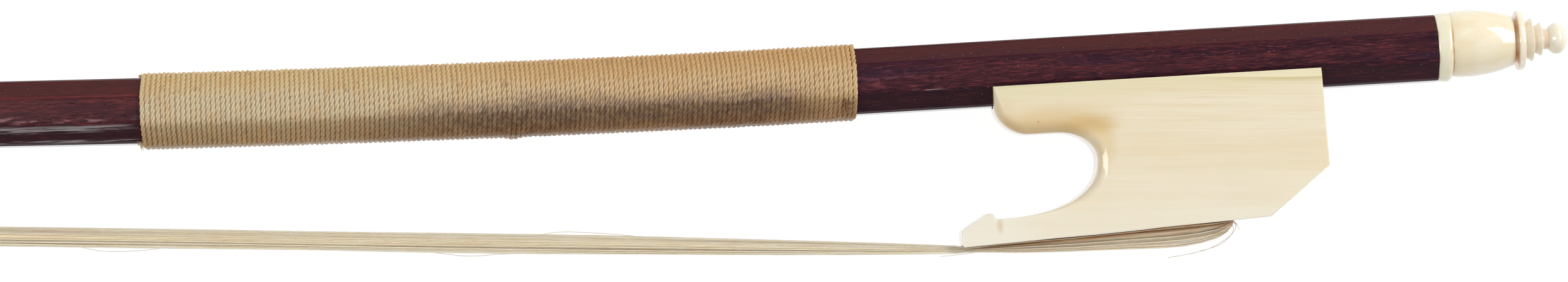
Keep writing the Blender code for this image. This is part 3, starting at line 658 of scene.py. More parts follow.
# Frog: sawn from one slab of ivory, open between its arm and its beak, with a seat in three facets
# that rides on the stick. Its throat and arm are rounded over, its other edges left crisp.
FROG_SETBACK = 0.0179
FROG_THICKNESS = 0.0130
REAR_LEAN = 0.0004
CHEEK_TOP = 0.00205
ARM_LENGTH = 0.05093
ARM_DEPTH = 0.0097
ARM_NOSE_LENGTH = 0.0049
ARM_NOSE_DEPTH = 0.0042
THROAT_BACK = 0.03548
THROAT_MIDDLE = 0.0141
THROAT_UPPER_LENGTH = 0.0061
BRANCH_TOP = 0.02245
BEAK_LENGTH = 0.0570
BEAK_PEAK = 0.0215
BEAK_PEAK_FROM_TIP = 0.0049
BEAK_NOTCH_WIDTH = 0.0008
BEAK_FACE_TOP = 0.0240
BEAK_BASE = 0.0265
REAR_FACE_BOTTOM = 0.01705
REAR_BASE = 0.02444
REAR_CHAMFER_LENGTH = 0.00942
CRISP_EDGE = 0.00018
ROUNDED_EDGE = 0.0019
EDGE_FADE = 0.0045
ROUNDING_STEPS = 7
CHAMFER_DEPTH = 0.00135
CHAMFER_REACH = 0.0260
CHAMFER_WIDTH = 0.0005
FROG_MORTISE_FRONT = 0.0161
FROG_MORTISE_LENGTH = 0.0052
FROG_MORTISE_DEPTH = 0.00698
HAIR_WIDTH_FROG = 0.0100
SHANK_RADIUS = 0.0015
SHANK_FROM_END = 0.0380
SHANK_DEPTH = 0.0080


def on_frog(forward, down, out=0.0):
    """A place on the frog: forward from its rear face, and down from the stick's axis."""
    return at(-FROG_SETBACK - forward, -down, out)


def frog_outline():
    """The frog from the side: forward from its rear face, and down from the stick's axis."""
    notch = BEAK_LENGTH - BEAK_PEAK_FROM_TIP - BEAK_NOTCH_WIDTH
    peak = BEAK_LENGTH - BEAK_PEAK_FROM_TIP
    points = [(REAR_LEAN, CHEEK_TOP), (ARM_LENGTH, CHEEK_TOP)]
    points += arc(
        (ARM_LENGTH - ARM_NOSE_LENGTH, ARM_DEPTH - ARM_NOSE_DEPTH),
        (ARM_NOSE_LENGTH, ARM_NOSE_DEPTH), 0, 90, 18, 1.7,
    )
    points += arc(
        (THROAT_BACK + THROAT_UPPER_LENGTH, THROAT_MIDDLE),
        (THROAT_UPPER_LENGTH, THROAT_MIDDLE - ARM_DEPTH), 270, 180, 22,
    )
    points += arc(
        (notch, THROAT_MIDDLE), (notch - THROAT_BACK, BRANCH_TOP - THROAT_MIDDLE), 180, 90, 32, 2.3
    )[1:]
    points += [(notch + 0.00014, BRANCH_TOP + 0.00022), (notch + 0.00022, BRANCH_TOP)]
    points += arc((peak + 0.00048, BEAK_PEAK + 0.0010), (0.00100, 0.00100), 180, 300, 14)
    points += [(BEAK_LENGTH - 0.0016, (BEAK_FACE_TOP + BEAK_PEAK) / 2 + 0.00016)]
    points += [(BEAK_LENGTH, BEAK_FACE_TOP)]
    points += arc((BEAK_LENGTH - 0.0004, BEAK_BASE - 0.0004), (0.0004, 0.0004), 0, 90, 4)
    points += [(REAR_CHAMFER_LENGTH, REAR_BASE), (0.0, REAR_FACE_BOTTOM)]
    return points


def cut_with(piece, cutter):
    """Cuts one solid out of another and throws the cutter away."""
    modify(piece, "BOOLEAN", operation="DIFFERENCE", solver="EXACT", object=cutter)
    bpy.data.objects.remove(cutter)


def edge_radius(forward, down):
    """How far the frog's edge is rounded over at a place on its outline."""
    inside = forward > THROAT_BACK - CRISP_EDGE and down < BRANCH_TOP - CRISP_EDGE
    on_beak = forward > BEAK_LENGTH - BEAK_PEAK_FROM_TIP - BEAK_NOTCH_WIDTH - CRISP_EDGE
    if not inside or (on_beak and down > THROAT_MIDDLE):
        return CRISP_EDGE
    near_cheek = (down - CHEEK_TOP) / EDGE_FADE
    near_notch = (BRANCH_TOP - down) / EDGE_FADE
    share = min(1.0, near_cheek, near_notch)
    return max(CRISP_EDGE, ROUNDED_EDGE * share * (2 - share))


def layer(outline, share_in, side):
    """One level of the frog: its outline drawn in along the rounding, share_in from 0 to 1."""
    corners = []
    turn = share_in * math.pi / 2
    for index, here in enumerate(outline):
        before = Vector(outline[index - 1])
        after = Vector(outline[(index + 1) % len(outline)])
        here = Vector(here)
        first = (here - before).normalized()
        second = (after - here).normalized()
        inward = Vector((first.y + second.y, -first.x - second.x)).normalized()
        mitre = 1 / max(0.5, math.sqrt((1 + first.dot(second)) / 2))
        radius = edge_radius(*here)
        moved = here - inward * mitre * radius * (1 - math.cos(turn))
        height = FROG_THICKNESS / 2 - radius * (1 - math.sin(turn))
        corners.append(on_frog(moved.x, moved.y, side * height))
    return corners


def drawn_out(name, levels):
    """A solid that starts from one face and is drawn out and reshaped from level to level."""
    piece = added(
        bpy.ops.mesh.primitive_circle_add, name, vertices=len(levels[0]), radius=0.01,
        fill_type="NGON",
    )
    for vertex, corner in zip(piece.data.vertices, levels[0]):
        vertex.co = corner
    for below, level in zip(levels, levels[1:]):
        moves = {tuple(round(c, 6) for c in here): there for here, there in zip(below, level)}
        bpy.ops.object.mode_set(mode="EDIT")
        bpy.ops.mesh.extrude_region_move(TRANSFORM_OT_translate={"value": (0.0, 0.0, 0.0)})
        bpy.ops.object.mode_set(mode="OBJECT")
        for vertex in piece.data.vertices:
            if vertex.select:
                vertex.co = moves[tuple(round(c, 6) for c in vertex.co)]
    pick(piece)
    with edit_mode():
        bpy.ops.mesh.normals_make_consistent(inside=False)
    return piece


def plane_cheeks(piece):
    """Planes a slanting chamfer along the top of each cheek, wider towards the rear."""
    for side in (-1.0, 1.0):
        face = side * FROG_THICKNESS / 2
        rear_low = on_frog(REAR_LEAN, CHEEK_TOP + CHAMFER_DEPTH, face)
        front_high = on_frog(CHAMFER_REACH, CHEEK_TOP, face)
        rear_in = on_frog(REAR_LEAN, CHEEK_TOP, face - side * CHAMFER_WIDTH)
        normal = (front_high - rear_low).cross(rear_in - rear_low).normalized()
        if normal.y < 0:
            normal.negate()
        pick(piece)
        with edit_mode():
            bpy.ops.mesh.bisect(plane_co=rear_low, plane_no=normal, use_fill=True, clear_outer=True)


def frog_ivory():
    look = ivory("frog_ivory", 0.8, 0.05)
    grain_turn = math.radians(3.3)
    along, up, out = look.place()
    forward = -FROG_SETBACK - along
    lines = look.noise((34.0, 2300.0, 2300.0), 4.0, 0.66, 0.6, turn=grain_turn)
    growth = look.noise((15.0, 420.0, 420.0), 3.0, 0.55, 0.4, turn=grain_turn)
    clouds = look.noise((45.0, 90.0, 90.0), 2.0, 0.5)
    figured = look.step(up, -0.0170, -0.0060, 0.30, 1.0)

    def patch(middle, reach, soft=0.6):
        """A soft round spot about a place, with its reach along and up."""
        away_x = (along - middle[0]) / reach[0]
        away_y = (up - middle[1]) / reach[1]
        distance = (away_x * away_x + away_y * away_y) ** 0.5
        return look.step(distance + (lines - 0.5) * 0.9, 1.0 - soft, 1.0 + soft, 1.0, 0.0)

    honey = (218, 184, 118)
    pale = (242, 236, 220)
    # Painted shade: honey brown along the rounded underside of the arm, where it turns away from
    # the light.
    arm_underside_shade = look.between(along, -0.0690, -0.0520, 0.003)
    arm_underside_shade = arm_underside_shade * look.between(up, -0.0094, -0.0078, 0.0010)
    near_face = look.step(out.work("ABSOLUTE", out), 0.0056, 0.0061, 1.0, 0.0)
    rim = look.between(up, -0.0030, -0.0010, 0.0002) * near_face
    # Painted shadow: a soft darker line under the chamfer along the top of each cheek, fading out
    # towards the front.
    chamfer_line = -CHEEK_TOP - (1.0 - look.step(forward, 0.0, 0.030)) * CHAMFER_DEPTH
    below = (chamfer_line - up) / 0.0006
    chamfer_shadow_line = look.step(below, -0.25, 0.05) * look.step(below, 0.1, 1.4, 1.0, 0.0)
    chamfer_shadow_line = chamfer_shadow_line * look.step(forward, 0.024, 0.004)
    # Painted shadow: a thin darker strip just under the top edge at the front of the arm, below the
    # stick's edge.
    front_shadow_strip = look.between(up, -CHEEK_TOP - 0.00036, 0.0, 0.00006)
    front_shadow_strip = front_shadow_strip * look.step(forward, 0.036, 0.044)
    colour = look.layers(
        look.mix(look.step(growth, 0.36, 0.66), tint(239, 227, 200), tint(235, 220, 188)),
        (look.step(lines, 0.47, 0.68) * figured * 0.38, 222, 194, 142),
        (look.step(clouds, 0.5, 0.72) * 0.30, 241, 231, 208),
        (patch((-0.0545, -0.0090), (0.0038, 0.0015)) * 0.62, *honey),
        (patch((-0.0600, -0.0078), (0.0080, 0.0019)) * 0.56, *honey),
        (patch((-0.0676, -0.0075), (0.0016, 0.0030)) * 0.30, *honey),
        (patch((-0.0522, -0.0118), (0.0016, 0.0030)) * 0.35, *honey),
        (arm_underside_shade * 0.35, 196, 158, 104),
        (look.step(up, -0.0170, -0.0245) * 0.45, *pale),
        (patch((-0.0710, -0.0248), (0.0065, 0.0030)) * 0.70, *pale),
        # Painted reflection of the dark stick: the top of each cheek is greyer and more olive.
        (look.step(up, -0.0055, -0.0030) * 0.45, 226, 218, 176),
        # Painted shade: a honey-brown streak beside the notch in the beak.
        (patch((-0.0690, -0.0235), (0.00045, 0.0009), 0.8) * 0.40, 206, 160, 96),
        (patch((-0.0622, -0.0079), (0.00020, 0.00009), 0.3) * 0.8, 176, 122, 62),
        (rim * 0.6, 150, 104, 60),
        (chamfer_shadow_line * 0.70, 206, 186, 132),
        (front_shadow_strip * 0.55, 212, 206, 162),
    )
    roughness = look.step(growth, 0.3, 0.7, 0.30, 0.42)
    relief = look.bump(lines, 0.00001, 0.25)
    return look.wear(base_color=colour, roughness=roughness, normal=relief)


outline = frog_outline()
rounding = [step / ROUNDING_STEPS for step in range(ROUNDING_STEPS + 1)]
levels = [layer(outline, 1 - share, -1) for share in rounding]
levels += [layer(outline, share, 1) for share in rounding]
frog = drawn_out("ivory_frog", levels)
plane_cheeks(frog)

seat_middle = on_frog(ARM_LENGTH / 2, 0.0)
seat_cutter = added(
    bpy.ops.mesh.primitive_cylinder_add, "seat_cutter", vertices=8,
    radius=(HANDLE_WIDTH / 2 + FIT_GAP) / math.cos(math.pi / 8), depth=0.08, location=seat_middle,
    rotation=(0.0, math.pi / 2, 0.0),
)
with edit_mode():
    bpy.ops.transform.rotate(value=math.pi / 8, orient_axis="X", center_override=seat_middle)
cut_with(frog, seat_cutter)

mortise_half = HAIR_WIDTH_FROG / 2 + FIT_GAP
mortise_share = (FROG_MORTISE_FRONT - REAR_CHAMFER_LENGTH) / (BEAK_LENGTH - REAR_CHAMFER_LENGTH)
mortise_floor = REAR_BASE + (BEAK_BASE - REAR_BASE) * mortise_share - FROG_MORTISE_DEPTH
front_low = on_frog(FROG_MORTISE_FRONT, BEAK_BASE + 0.002, -mortise_half)
rear_high = on_frog(FROG_MORTISE_FRONT - FROG_MORTISE_LENGTH, mortise_floor, mortise_half)
cut_with(frog, added(
    bpy.ops.mesh.primitive_cube_add, "mortise_cutter", size=1.0,
    location=(front_low + rear_high) / 2, scale=rear_high - front_low,
))

shank_foot = HANDLE_WIDTH / 2 + SHANK_DEPTH + FIT_GAP
cut_with(frog, added(
    bpy.ops.mesh.primitive_cylinder_add, "shank_cutter", vertices=32,
    radius=SHANK_RADIUS + FIT_GAP, depth=shank_foot,
    location=at(-SHANK_FROM_END, -shank_foot / 2), rotation=(math.pi / 2, 0.0, 0.0),
))
smooth(frog, 30)
frog.data.materials.append(frog_ivory())
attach(frog, "frog")
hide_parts("frog")


# Plugs and knots: each end of the hair is tied with thread, singed and sealed with rosin, pushed
# into its mortise, and wedged there by a little block of pale wood.
THREAD = 0.0002


def plug_wood():
    look = Look("pale_plug_wood")
    rings = look.noise((150.0, 1600.0, 1600.0), 3.0, 0.6)
    colour = look.mix(look.step(rings, 0.4, 0.65), tint(214, 178, 128), tint(176, 136, 88))
    roughness = look.step(rings, 0.3, 0.7, 0.6, 0.8)
    return look.wear(base_color=colour, roughness=roughness, normal=look.bump(rings, 0.00005, 0.6))


def bound_hair():
    look = Look("bound_hair")
    turns = look.axes(look.where())[1]
    thread = turns.work("PINGPONG", turns, THREAD) / THREAD
    grime = look.noise((900.0, 900.0, 900.0), 3.0)
    colour = look.layers(
        look.mix(thread, tint(70, 48, 30), tint(150, 112, 72)),
        (look.step(grime, 0.5, 0.7) * 0.6, 48, 32, 20),
    )
    roughness = look.step(grime, 0.3, 0.7, 0.45, 0.85)
    return look.wear(base_color=colour, roughness=roughness, normal=look.bump(thread, 0.0001, 0.8))


plug_finish = plug_wood()
knot_finish = bound_hair()
for end in ("frog", "head"):
    refinish(end + "_plug", plug_finish)
    refinish(end + "_hair_knot", knot_finish)


# Hair: 170 strands of blond horsehair in a flat ribbon, slack here, so that they hang in a bow
# under the frog, close up beneath its beak and spread again on their way to the head.
HAIR_RADIUS = 0.000085
HAIR_COUNT = 170
BEAK_TIP = -(FROG_SETBACK + BEAK_LENGTH)
HEAD_EXIT = -0.6930
HAIR_LEVEL_BEAK = -0.02680
HAIR_RISE = 0.0049
HAIR_CLEAR = 0.0008
HAIR_LEVEL_HEAD = 0.01690
HAIR_EXIT = -(FROG_SETBACK + FROG_MORTISE_FRONT) + 0.0004
HAIR_HANG = [
    (0.0, 0.0), (0.0004, 0.0008), (0.0012, 0.0016), (0.0026, 0.0023), (0.0046, 0.0028),
    (0.0070, 0.0030), (0.0100, 0.0030), (0.0150, 0.0027), (0.0250, 0.0021), (0.0330, 0.0014),
    (0.0407, 0.0006),
]
HAIR_SECTIONS = [(step / 36) ** 1.25 for step in range(37)]
HAIR_INSET = 0.97
HAIR_GAP = 0.00012
HAIR_WAVE = 0.00016
SPREAD_AT_BEAK = 0.00052
SPREAD_GROWTH = 0.00080
RIBBON_TAPER = 0.38


def frog_base(along):
    """How far the frog's underside lies below the stick's axis."""
    share = (-along - FROG_SETBACK - REAR_CHAMFER_LENGTH) / (BEAK_LENGTH - REAR_CHAMFER_LENGTH)
    return REAR_BASE + (BEAK_BASE - REAR_BASE) * share


def spread(share):
    """Half the height of the ribbon in front of the frog, from the beak to the head."""
    rise = 1 - math.exp(-share * 26)
    fall = 1 - math.exp(-(1 - share) * 30)
    return SPREAD_AT_BEAK + SPREAD_GROWTH * rise * fall


def hair_level(share):
    """The middle of the ribbon in front of the frog, a little bowed towards the stick."""
    level = HAIR_LEVEL_BEAK + (HAIR_LEVEL_HEAD - HAIR_LEVEL_BEAK) * share
    return level + HAIR_RISE * share**2 * (1 - share)


def hair_section(share):
    """Where a section of the ribbon in front of the frog lies, and half its width there."""
    along = BEAK_TIP - HAIR_CLEAR + (HEAD_EXIT - BEAK_TIP + HAIR_CLEAR) * share
    return along, HAIR_WIDTH_FROG / 2 * (1 - RIBBON_TAPER * share)


def strand(lane, rank, luck):
    """One hair: lane is its place across the ribbon, rank its height in it, both from -1 to 1."""
    wander = [
        (luck.uniform(-1, 1), luck.uniform(0, 6.28), luck.uniform(0.6, 1.4)) for _ in range(3)
    ]
    out = lane * HAIR_WIDTH_FROG / 2 * HAIR_INSET
    depth = ((rank + 1) / 2) ** 1.7
    points = [
        at(HAIR_EXIT - 0.0002, -frog_base(HAIR_EXIT) + 0.0030, out),
        at(HAIR_EXIT - 0.0001, -frog_base(HAIR_EXIT) + 0.0005, out),
    ]
    for forward, hang in HAIR_HANG:
        along = HAIR_EXIT - forward
        wave = 0.00010 * math.sin(wander[0][1] + forward * 260) * wander[0][0] * (forward > 0.002)
        down = frog_base(along) + HAIR_GAP + hang * (0.05 + 0.95 * depth)
        points.append(at(along + 0.0006 * depth * (forward < 0.003), -down + wave, out))
    for share in HAIR_SECTIONS:
        along, half = hair_section(share)
        wave = sum(
            size * math.sin(phase + share * 17 * pace * (index + 1)) / (index + 1)
            for index, (size, phase, pace) in enumerate(wander)
        )
        fade = min(1.0, share * 10) * min(1.0, (1 - share) * 10)
        drift = lane + 0.10 * fade * wander[1][0] * math.sin(share * 9 + wander[2][1])
        up = hair_level(share) - rank * spread(share) + HAIR_WAVE * wave * fade
        points.append(at(along, up, drift * half * HAIR_INSET))
    return points


def hair_piece(name, strands, radius, sides=0):
    """Hairs drawn as thin round lines and made one mesh."""
    curve = bpy.data.curves.new(name, "CURVE")
    curve.dimensions = "3D"
    curve.bevel_depth = radius
    curve.bevel_resolution = sides
    curve.use_fill_caps = True
    for points, thickness in strands:
        spline = curve.splines.new("POLY")
        spline.points.add(len(points) - 1)
        for point, here in zip(spline.points, points):
            point.co = (*here, 1.0)
            point.radius = thickness
    drawn = bpy.data.objects.new(name, curve)
    bpy.context.scene.collection.objects.link(drawn)
    pick(drawn)
    bpy.ops.object.convert(target="MESH")
    piece = bpy.context.object
    bpy.ops.object.shade_smooth()
    return piece


def horsehair():
    look = Look(
        "blond_horsehair", specular_ior_level=0.4, subsurface_weight=0.55, subsurface_scale=0.0005,
        subsurface_radius=(1.0, 0.88, 0.70),
    )
    along, up, out = look.place()
    lanes = look.noise((3.0, 3400.0, 3400.0), 3.0, 0.7)
    colour = look.mix(look.step(lanes, 0.36, 0.64), tint(250, 238, 212), tint(236, 218, 184))
    shade = look.step(along, BEAK_TIP, BEAK_TIP + 0.010)
    browner = look.mix(look.step(lanes, 0.4, 0.6), tint(250, 238, 216), tint(224, 196, 160))
    base_slope = (BEAK_BASE - REAR_BASE) / (BEAK_LENGTH - REAR_CHAMFER_LENGTH)
    under_base_shadow = (along - BEAK_TIP) * base_slope - BEAK_BASE - up
    # Painted shade: under the frog the hair is browner, and browner still just under its base,
    # where the frog's shadow falls.
    colour = look.layers(
        look.mix(shade * 0.8, colour, browner),
        (shade * look.step(under_base_shadow, 0.0011, 0.0003) * 0.65, 226, 170, 118),
    )
    roughness = look.step(lanes, 0.3, 0.7, 0.32, 0.5)
    return look.wear(base_color=colour, roughness=roughness, normal=look.bump(lanes, 0.00006, 0.5))


def hair_ring(along, level, half_height, half_width):
    """A section of the closed-up middle of the hair."""
    turns = [2 * math.pi * step / 16 for step in range(16)]
    return [
        at(along, level + half_height * math.cos(turn), half_width * math.sin(turn))
        for turn in turns
    ]


rings = []
for forward, hang in HAIR_HANG[1:]:
    along = HAIR_EXIT - forward
    rings.append(hair_ring(along, -frog_base(along) - 0.0001 - hang * 0.27, hang * 0.24, 0.0045))
for share in HAIR_SECTIONS:
    along, half = hair_section(share)
    rings.append(hair_ring(along, hair_level(share), spread(share) * 0.96, half * 0.90))
hair_middle = drawn_out("horsehair_middle", rings)
smooth(hair_middle, 60)

luck = random.Random(7)
strands = []
for number in range(HAIR_COUNT):
    lane = -1 + 2 * (number + 0.5) / HAIR_COUNT
    rank = max(-1.0, min(1.0, luck.gauss(0.0, 0.52)))
    strands.append((strand(lane, rank, luck), luck.uniform(0.75, 1.2)))
hair = hair_piece("horsehair_ribbon", strands, HAIR_RADIUS)
hair_finish = horsehair()
hair.data.materials.append(hair_finish)
hair_middle.data.materials.append(hair_finish)
for part in (hair, hair_middle):
    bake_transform(part)
    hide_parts("hair_ribbon")


# Stray hairs: a few have slipped out of the ribbon. Some arch behind the frog's mortise and below
# the bundle, one crosses under the beak, and others wave above and below the ribbon. In mm.
STRAYS = [
    [(-78.2, -27.7), (-74.0, -27.5), (-69.3, -27.0), (-62.0, -26.9)],
    [(-142.0, -21.0), (-137.0, -20.5), (-133.0, -20.8), (-128.0, -21.4), (-123.0, -22.2)],
    [(-140.0, -21.1), (-133.0, -21.2), (-127.0, -21.7), (-120.0, -22.4), (-112.0, -23.8)],
    [(-129.0, -21.9), (-122.0, -22.1), (-115.0, -22.9), (-108.0, -24.2)],
    [(-160.0, -22.0), (-156.0, -22.6), (-151.0, -23.4), (-145.0, -23.4), (-139.0, -23.7)],
    [(-213.0, -17.9), (-208.0, -19.3), (-202.0, -19.6), (-196.0, -19.2)],
    [(-43.3, -26.9), (-39.7, -25.95), (-35.5, -25.8), (-33.2, -25.3), (-33.2, -24.0)],
    [(-43.4, -29.9), (-39.9, -29.5), (-36.7, -28.8), (-34.0, -27.4), (-32.6, -25.9),
     (-33.2, -24.3)],
    [(-37.9, -29.2), (-35.6, -28.7), (-33.9, -27.9), (-32.7, -26.6), (-32.6, -25.6),
     (-33.1, -24.2)],
    [(-32.2, -25.4), (-32.6, -25.1), (-33.1, -24.5)],
    [(-32.0, -26.2), (-32.4, -25.5), (-33.1, -24.4)],
]


def eased(corners, steps=6):
    """A smooth line through a few places."""
    line = []
    for index in range(len(corners) - 1):
        one = corners[max(0, index - 1)]
        two, three = corners[index], corners[index + 1]
        four = corners[min(len(corners) - 1, index + 2)]
        for step in range(steps):
            t = step / steps
            line.append(0.5 * (
                two * 2 + (three - one) * t + (one * 2 - two * 5 + three * 4 - four) * t**2
                + (two * 3 - three * 3 + four - one) * t**3
            ))
    return line + [corners[-1]]


stray_lines = []
for corners in STRAYS:
    out = luck.uniform(-0.0035, 0.0045)
    line = eased([at(along / 1000, up / 1000, out) for along, up in corners])
    stray_lines.append((line, luck.uniform(0.40, 0.65)))
stray_hairs = hair_piece("stray_hairs", stray_lines, HAIR_RADIUS)
stray_hairs.data.materials.append(hair_finish)
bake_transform(stray_hairs)


# Lapping: one cord laid up of three strands, wound turn against turn on the stick in front of the
# frog and tucked under itself at both ends. It is darkest along the middle, where it is held.
CORD_RADIUS = 0.00036
CORD_TURNS = 146
CORD_LAY = 0.0031
STRAND_RADIUS = 0.000236
STRAND_OFF_MIDDLE = 0.000182
POINTS_PER_TURN = 84
SLANT = 0.00080
FURROW_FILL = 0.00016
CORD_MARGIN = 0.0004
CORD_BED = HANDLE_WIDTH / 2 + CORD_RADIUS + 0.00002
BULGE_PLACE = -0.1431
BULGE_REACH = 0.0011
BULGE_HEIGHT = 0.00030


def facet_distance(angle, half_width):
    """From the axis of an octagon to its face, in one direction, with its corners eased."""
    eighth = math.pi / 4
    off_middle = (angle + eighth / 2) % eighth - eighth / 2
    return min(half_width / math.cos(off_middle), half_width * 1.068)


def cord_route(luck):
    """The middle of the cord, from the frog's end: each turn is slanted and a little uneven."""
    points = []
    total = CORD_TURNS * POINTS_PER_TURN
    run = LAPPING_LENGTH - CORD_MARGIN - 2 * CORD_RADIUS
    stray, swell, lean = [
        [luck.gauss(0.0, much) for _ in range(CORD_TURNS + 2)]
        for much in (0.00003, 0.000018, 0.00003)
    ]
    for step in range(total + 1):
        number, share = divmod(step / POINTS_PER_TURN, 1.0)
        number = int(number)

        def drifting(values):
            return values[number] + (values[number + 1] - values[number]) * share

        along = -LAPPING_END - CORD_MARGIN - CORD_RADIUS - run * step / total
        left = LAPPING_LENGTH * (1 - step / total)
        right = LAPPING_LENGTH * step / total
        slant = SLANT * (1 - math.exp(-left / 0.018)) * (0.72 + 0.28 * min(1.0, right / 0.012))
        angle = 2 * math.pi * step / POINTS_PER_TURN
        bulge = BULGE_HEIGHT * math.exp(-((along - BULGE_PLACE) / BULGE_REACH) ** 2)
        bulge *= max(0.0, -math.cos(angle - 0.2)) ** 6
        reach = facet_distance(angle - FACET_ROLL, CORD_BED) + drifting(swell) + bulge
        along += drifting(stray) + (slant + drifting(lean)) * math.sin(angle)
        up = camber(along) + reach * math.cos(angle)
        points.append(at(along, up, reach * math.sin(angle)))
    return points


def laid_strands(route):
    """The three strands that twist round the middle of the cord, the right-handed way."""
    strands = [[], [], []]
    passed = 0.0
    for index, here in enumerate(route):
        before = route[max(0, index - 1)]
        after = route[min(len(route) - 1, index + 1)]
        ahead = (after - before).normalized()
        axis_point = at(here.x - WOOD_END.x, camber(here.x - WOOD_END.x))
        outward = (here - axis_point).normalized()
        outward = (outward - ahead * outward.dot(ahead)).normalized()
        beside = ahead.cross(outward)
        passed += (here - before).length
        for number, strand_points in enumerate(strands):
            turn = 2 * math.pi * (passed / CORD_LAY + number / 3)
            off = outward * math.cos(turn) + beside * math.sin(turn)
            strand_points.append(here + off * STRAND_OFF_MIDDLE)
    return strands


def laid_cord(name, sunk):
    """Worn hemp cord, more or less sunk in glue from 0 to 1."""
    look = Look(
        name, specular_ior_level=0.60, subsurface_weight=0.38, subsurface_scale=0.0006,
        subsurface_radius=(1.0, 0.75, 0.50),
    )
    distance, around, unused = look.axes(look.where(source="UV"))
    twisted = {0: distance * 5200.0 + around * 5.0, 1: around * 7.0}
    yarn = look.noise(look.node("ShaderNodeCombineXYZ", {}, twisted), 2.0, 0.6)
    fuzz = look.noise((3200.0, 3200.0, 3200.0), 3.0, 0.6)
    blotches = look.noise((330.0, 240.0, 240.0), 3.0, 0.6)
    broad = look.noise((45.0, 70.0, 70.0), 3.0, 0.6)
    mottled = look.noise((1500.0, 900.0, 900.0), 2.0, 0.6, shift=(0.1, 0.4, 0.0))
    grime = look.noise((900.0, 500.0, 500.0), 2.0, shift=(0.3, 0.0, 0.0))
    specks = look.noise((1700.0, 1700.0, 1700.0), 0.0)
    along, up, out = look.place()
    forward = -LAPPING_END - along
    height = look.height(along, up)

    toward_frog = look.step(forward, 0.090, 0.030)
    colour = look.mix(toward_frog, tint(206, 185, 146), tint(206, 171, 122))
    golden = look.mix(toward_frog, tint(204, 171, 112), tint(190, 142, 76))
    colour = look.mix(look.step(height, 0.0010, 0.0050) * 0.75, colour, golden)
    shaded = look.mix(toward_frog, tint(162, 124, 77), tint(136, 91, 50))
    colour = look.layers(
        look.mix(look.step(height, -0.0002, -0.0050) * 0.75, colour, shaded),
        (look.step(blotches, 0.48, 0.68) * 0.35, 200, 150, 88),
        # Painted highlights on the yarn's fibres.
        (look.step(yarn, 0.40, 0.70) * 0.20, 238, 222, 188),
    )
    held = look.step(forward, 0.0035, 0.0135) * look.step(forward, 0.086, 0.056)
    ragged = height + (broad - 0.5) * 0.0050 + (blotches - 0.5) * 0.0022
    stain = held * look.between(ragged, -0.0056, -0.0007, 0.0015)
    stain = stain * look.step(blotches, 0.20, 0.52, 0.62, 1.0)
    stain = stain * look.step(mottled, 0.36, 0.62, 0.60, 1.0)
    # The stain from holding is real. On the underside it turns a warmer brown, which is painted
    # shade.
    shaded_underside = look.step(height, -0.0034, -0.0048)
    stain_and_shade_colour = look.mix(shaded_underside, tint(102, 76, 60), tint(110, 72, 40))
    colour = look.layers(
        look.mix(stain * 0.95, colour, stain_and_shade_colour),
        (look.step(grime, 0.60, 0.74) * 0.40, 128, 88, 52),
        (look.step(specks, 0.84, 0.86) * 0.65, 84, 52, 28),
    )
    glue_colour = look.mix(look.step(height, 0.0005, 0.0035), tint(116, 80, 48), tint(176, 132, 76))
    colour = look.mix(look.step(fuzz, 0.2, 0.8, sunk * 0.8, sunk), colour, glue_colour)
    roughness = look.step(yarn, 0.3, 0.7, 0.24, 0.38)
    relief = look.bump(yarn, 0.00003, 0.6)
    relief = look.bump(fuzz, 0.00002, 0.4, over=relief)
    return look.wear(base_color=colour, roughness=roughness, normal=relief)


cord_finish = laid_cord("laid_cord", 0.0)
for number, strand_points in enumerate(laid_strands(cord_route(luck)), 1):
    name = f"laid_cord_strand_{number}"
    cord_strand = hair_piece(name, [(strand_points, 1.0)], STRAND_RADIUS, 1)
    cord_strand.data.materials.append(cord_finish)
    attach(cord_strand, "stick")
    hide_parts("lapping_cord")


# Furrows of the lapping: the thinned glue that the cord was brushed with fills them to half their
# depth, so that the turns hold together on the stick.
FURROW_STEPS = 60
GLUE_MARGIN = 0.0006 + CORD_RADIUS

rings = []
for step in range(FURROW_STEPS + 1):
    along = -LAPPING_END - GLUE_MARGIN - (LAPPING_LENGTH - 2 * GLUE_MARGIN) * step / FURROW_STEPS
    ring = []
    for corner in range(64):
        angle = 2 * math.pi * corner / 64
        reach = facet_distance(angle - FACET_ROLL, CORD_BED) + FURROW_FILL
        squared_off = min(1.0, step / 8, (FURROW_STEPS - step) / 8)
        slanted = along + SLANT * 0.9 * math.sin(angle) * squared_off
        up = camber(slanted) + reach * math.cos(angle)
        ring.append(at(slanted, up, reach * math.sin(angle)))
    rings.append(ring)
glue = drawn_out("glue_in_the_furrows", rings)
smooth(glue, 60)
glue.data.materials.append(laid_cord("glue_in_the_furrows", 0.62))
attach(glue, "stick")


# Ends of the cord: at the head's end a frayed tuft sticks out from under the first turn, and at the
# frog's end the cord is pulled under the last turns and its fibres are glued down over them.
FIBRE_RADIUS = 0.00005
TUFT_PLACE = -0.2002


def frayed(name, root, way, length, spread_by, count, luck):
    """A little brush of loose fibres that leaves one place in one direction."""
    fibres = []
    for _ in range(count):
        off = Vector([luck.gauss(0.0, spread_by) for _ in range(3)])
        reach = length * luck.uniform(0.6, 1.1)
        curl = Vector([luck.gauss(0.0, 0.12) for _ in range(3)]) * reach
        points = []
        for step in range(7):
            share = step / 6
            points.append(root + way * reach * share + off * (0.5 + share) + curl * share * share)
        fibres.append((points, luck.uniform(0.7, 1.3)))
    return hair_piece(name, fibres, FIBRE_RADIUS)


def loose_fibre(name, light, dark):
    look = Look(name, specular_ior_level=0.25)
    shades = look.noise((2500.0, 2500.0, 2500.0), 2.0)
    colour = look.mix(look.step(shades, 0.35, 0.65), tint(*light), tint(*dark))
    return look.wear(base_color=colour, roughness=look.step(shades, 0.3, 0.7, 0.5, 0.8))


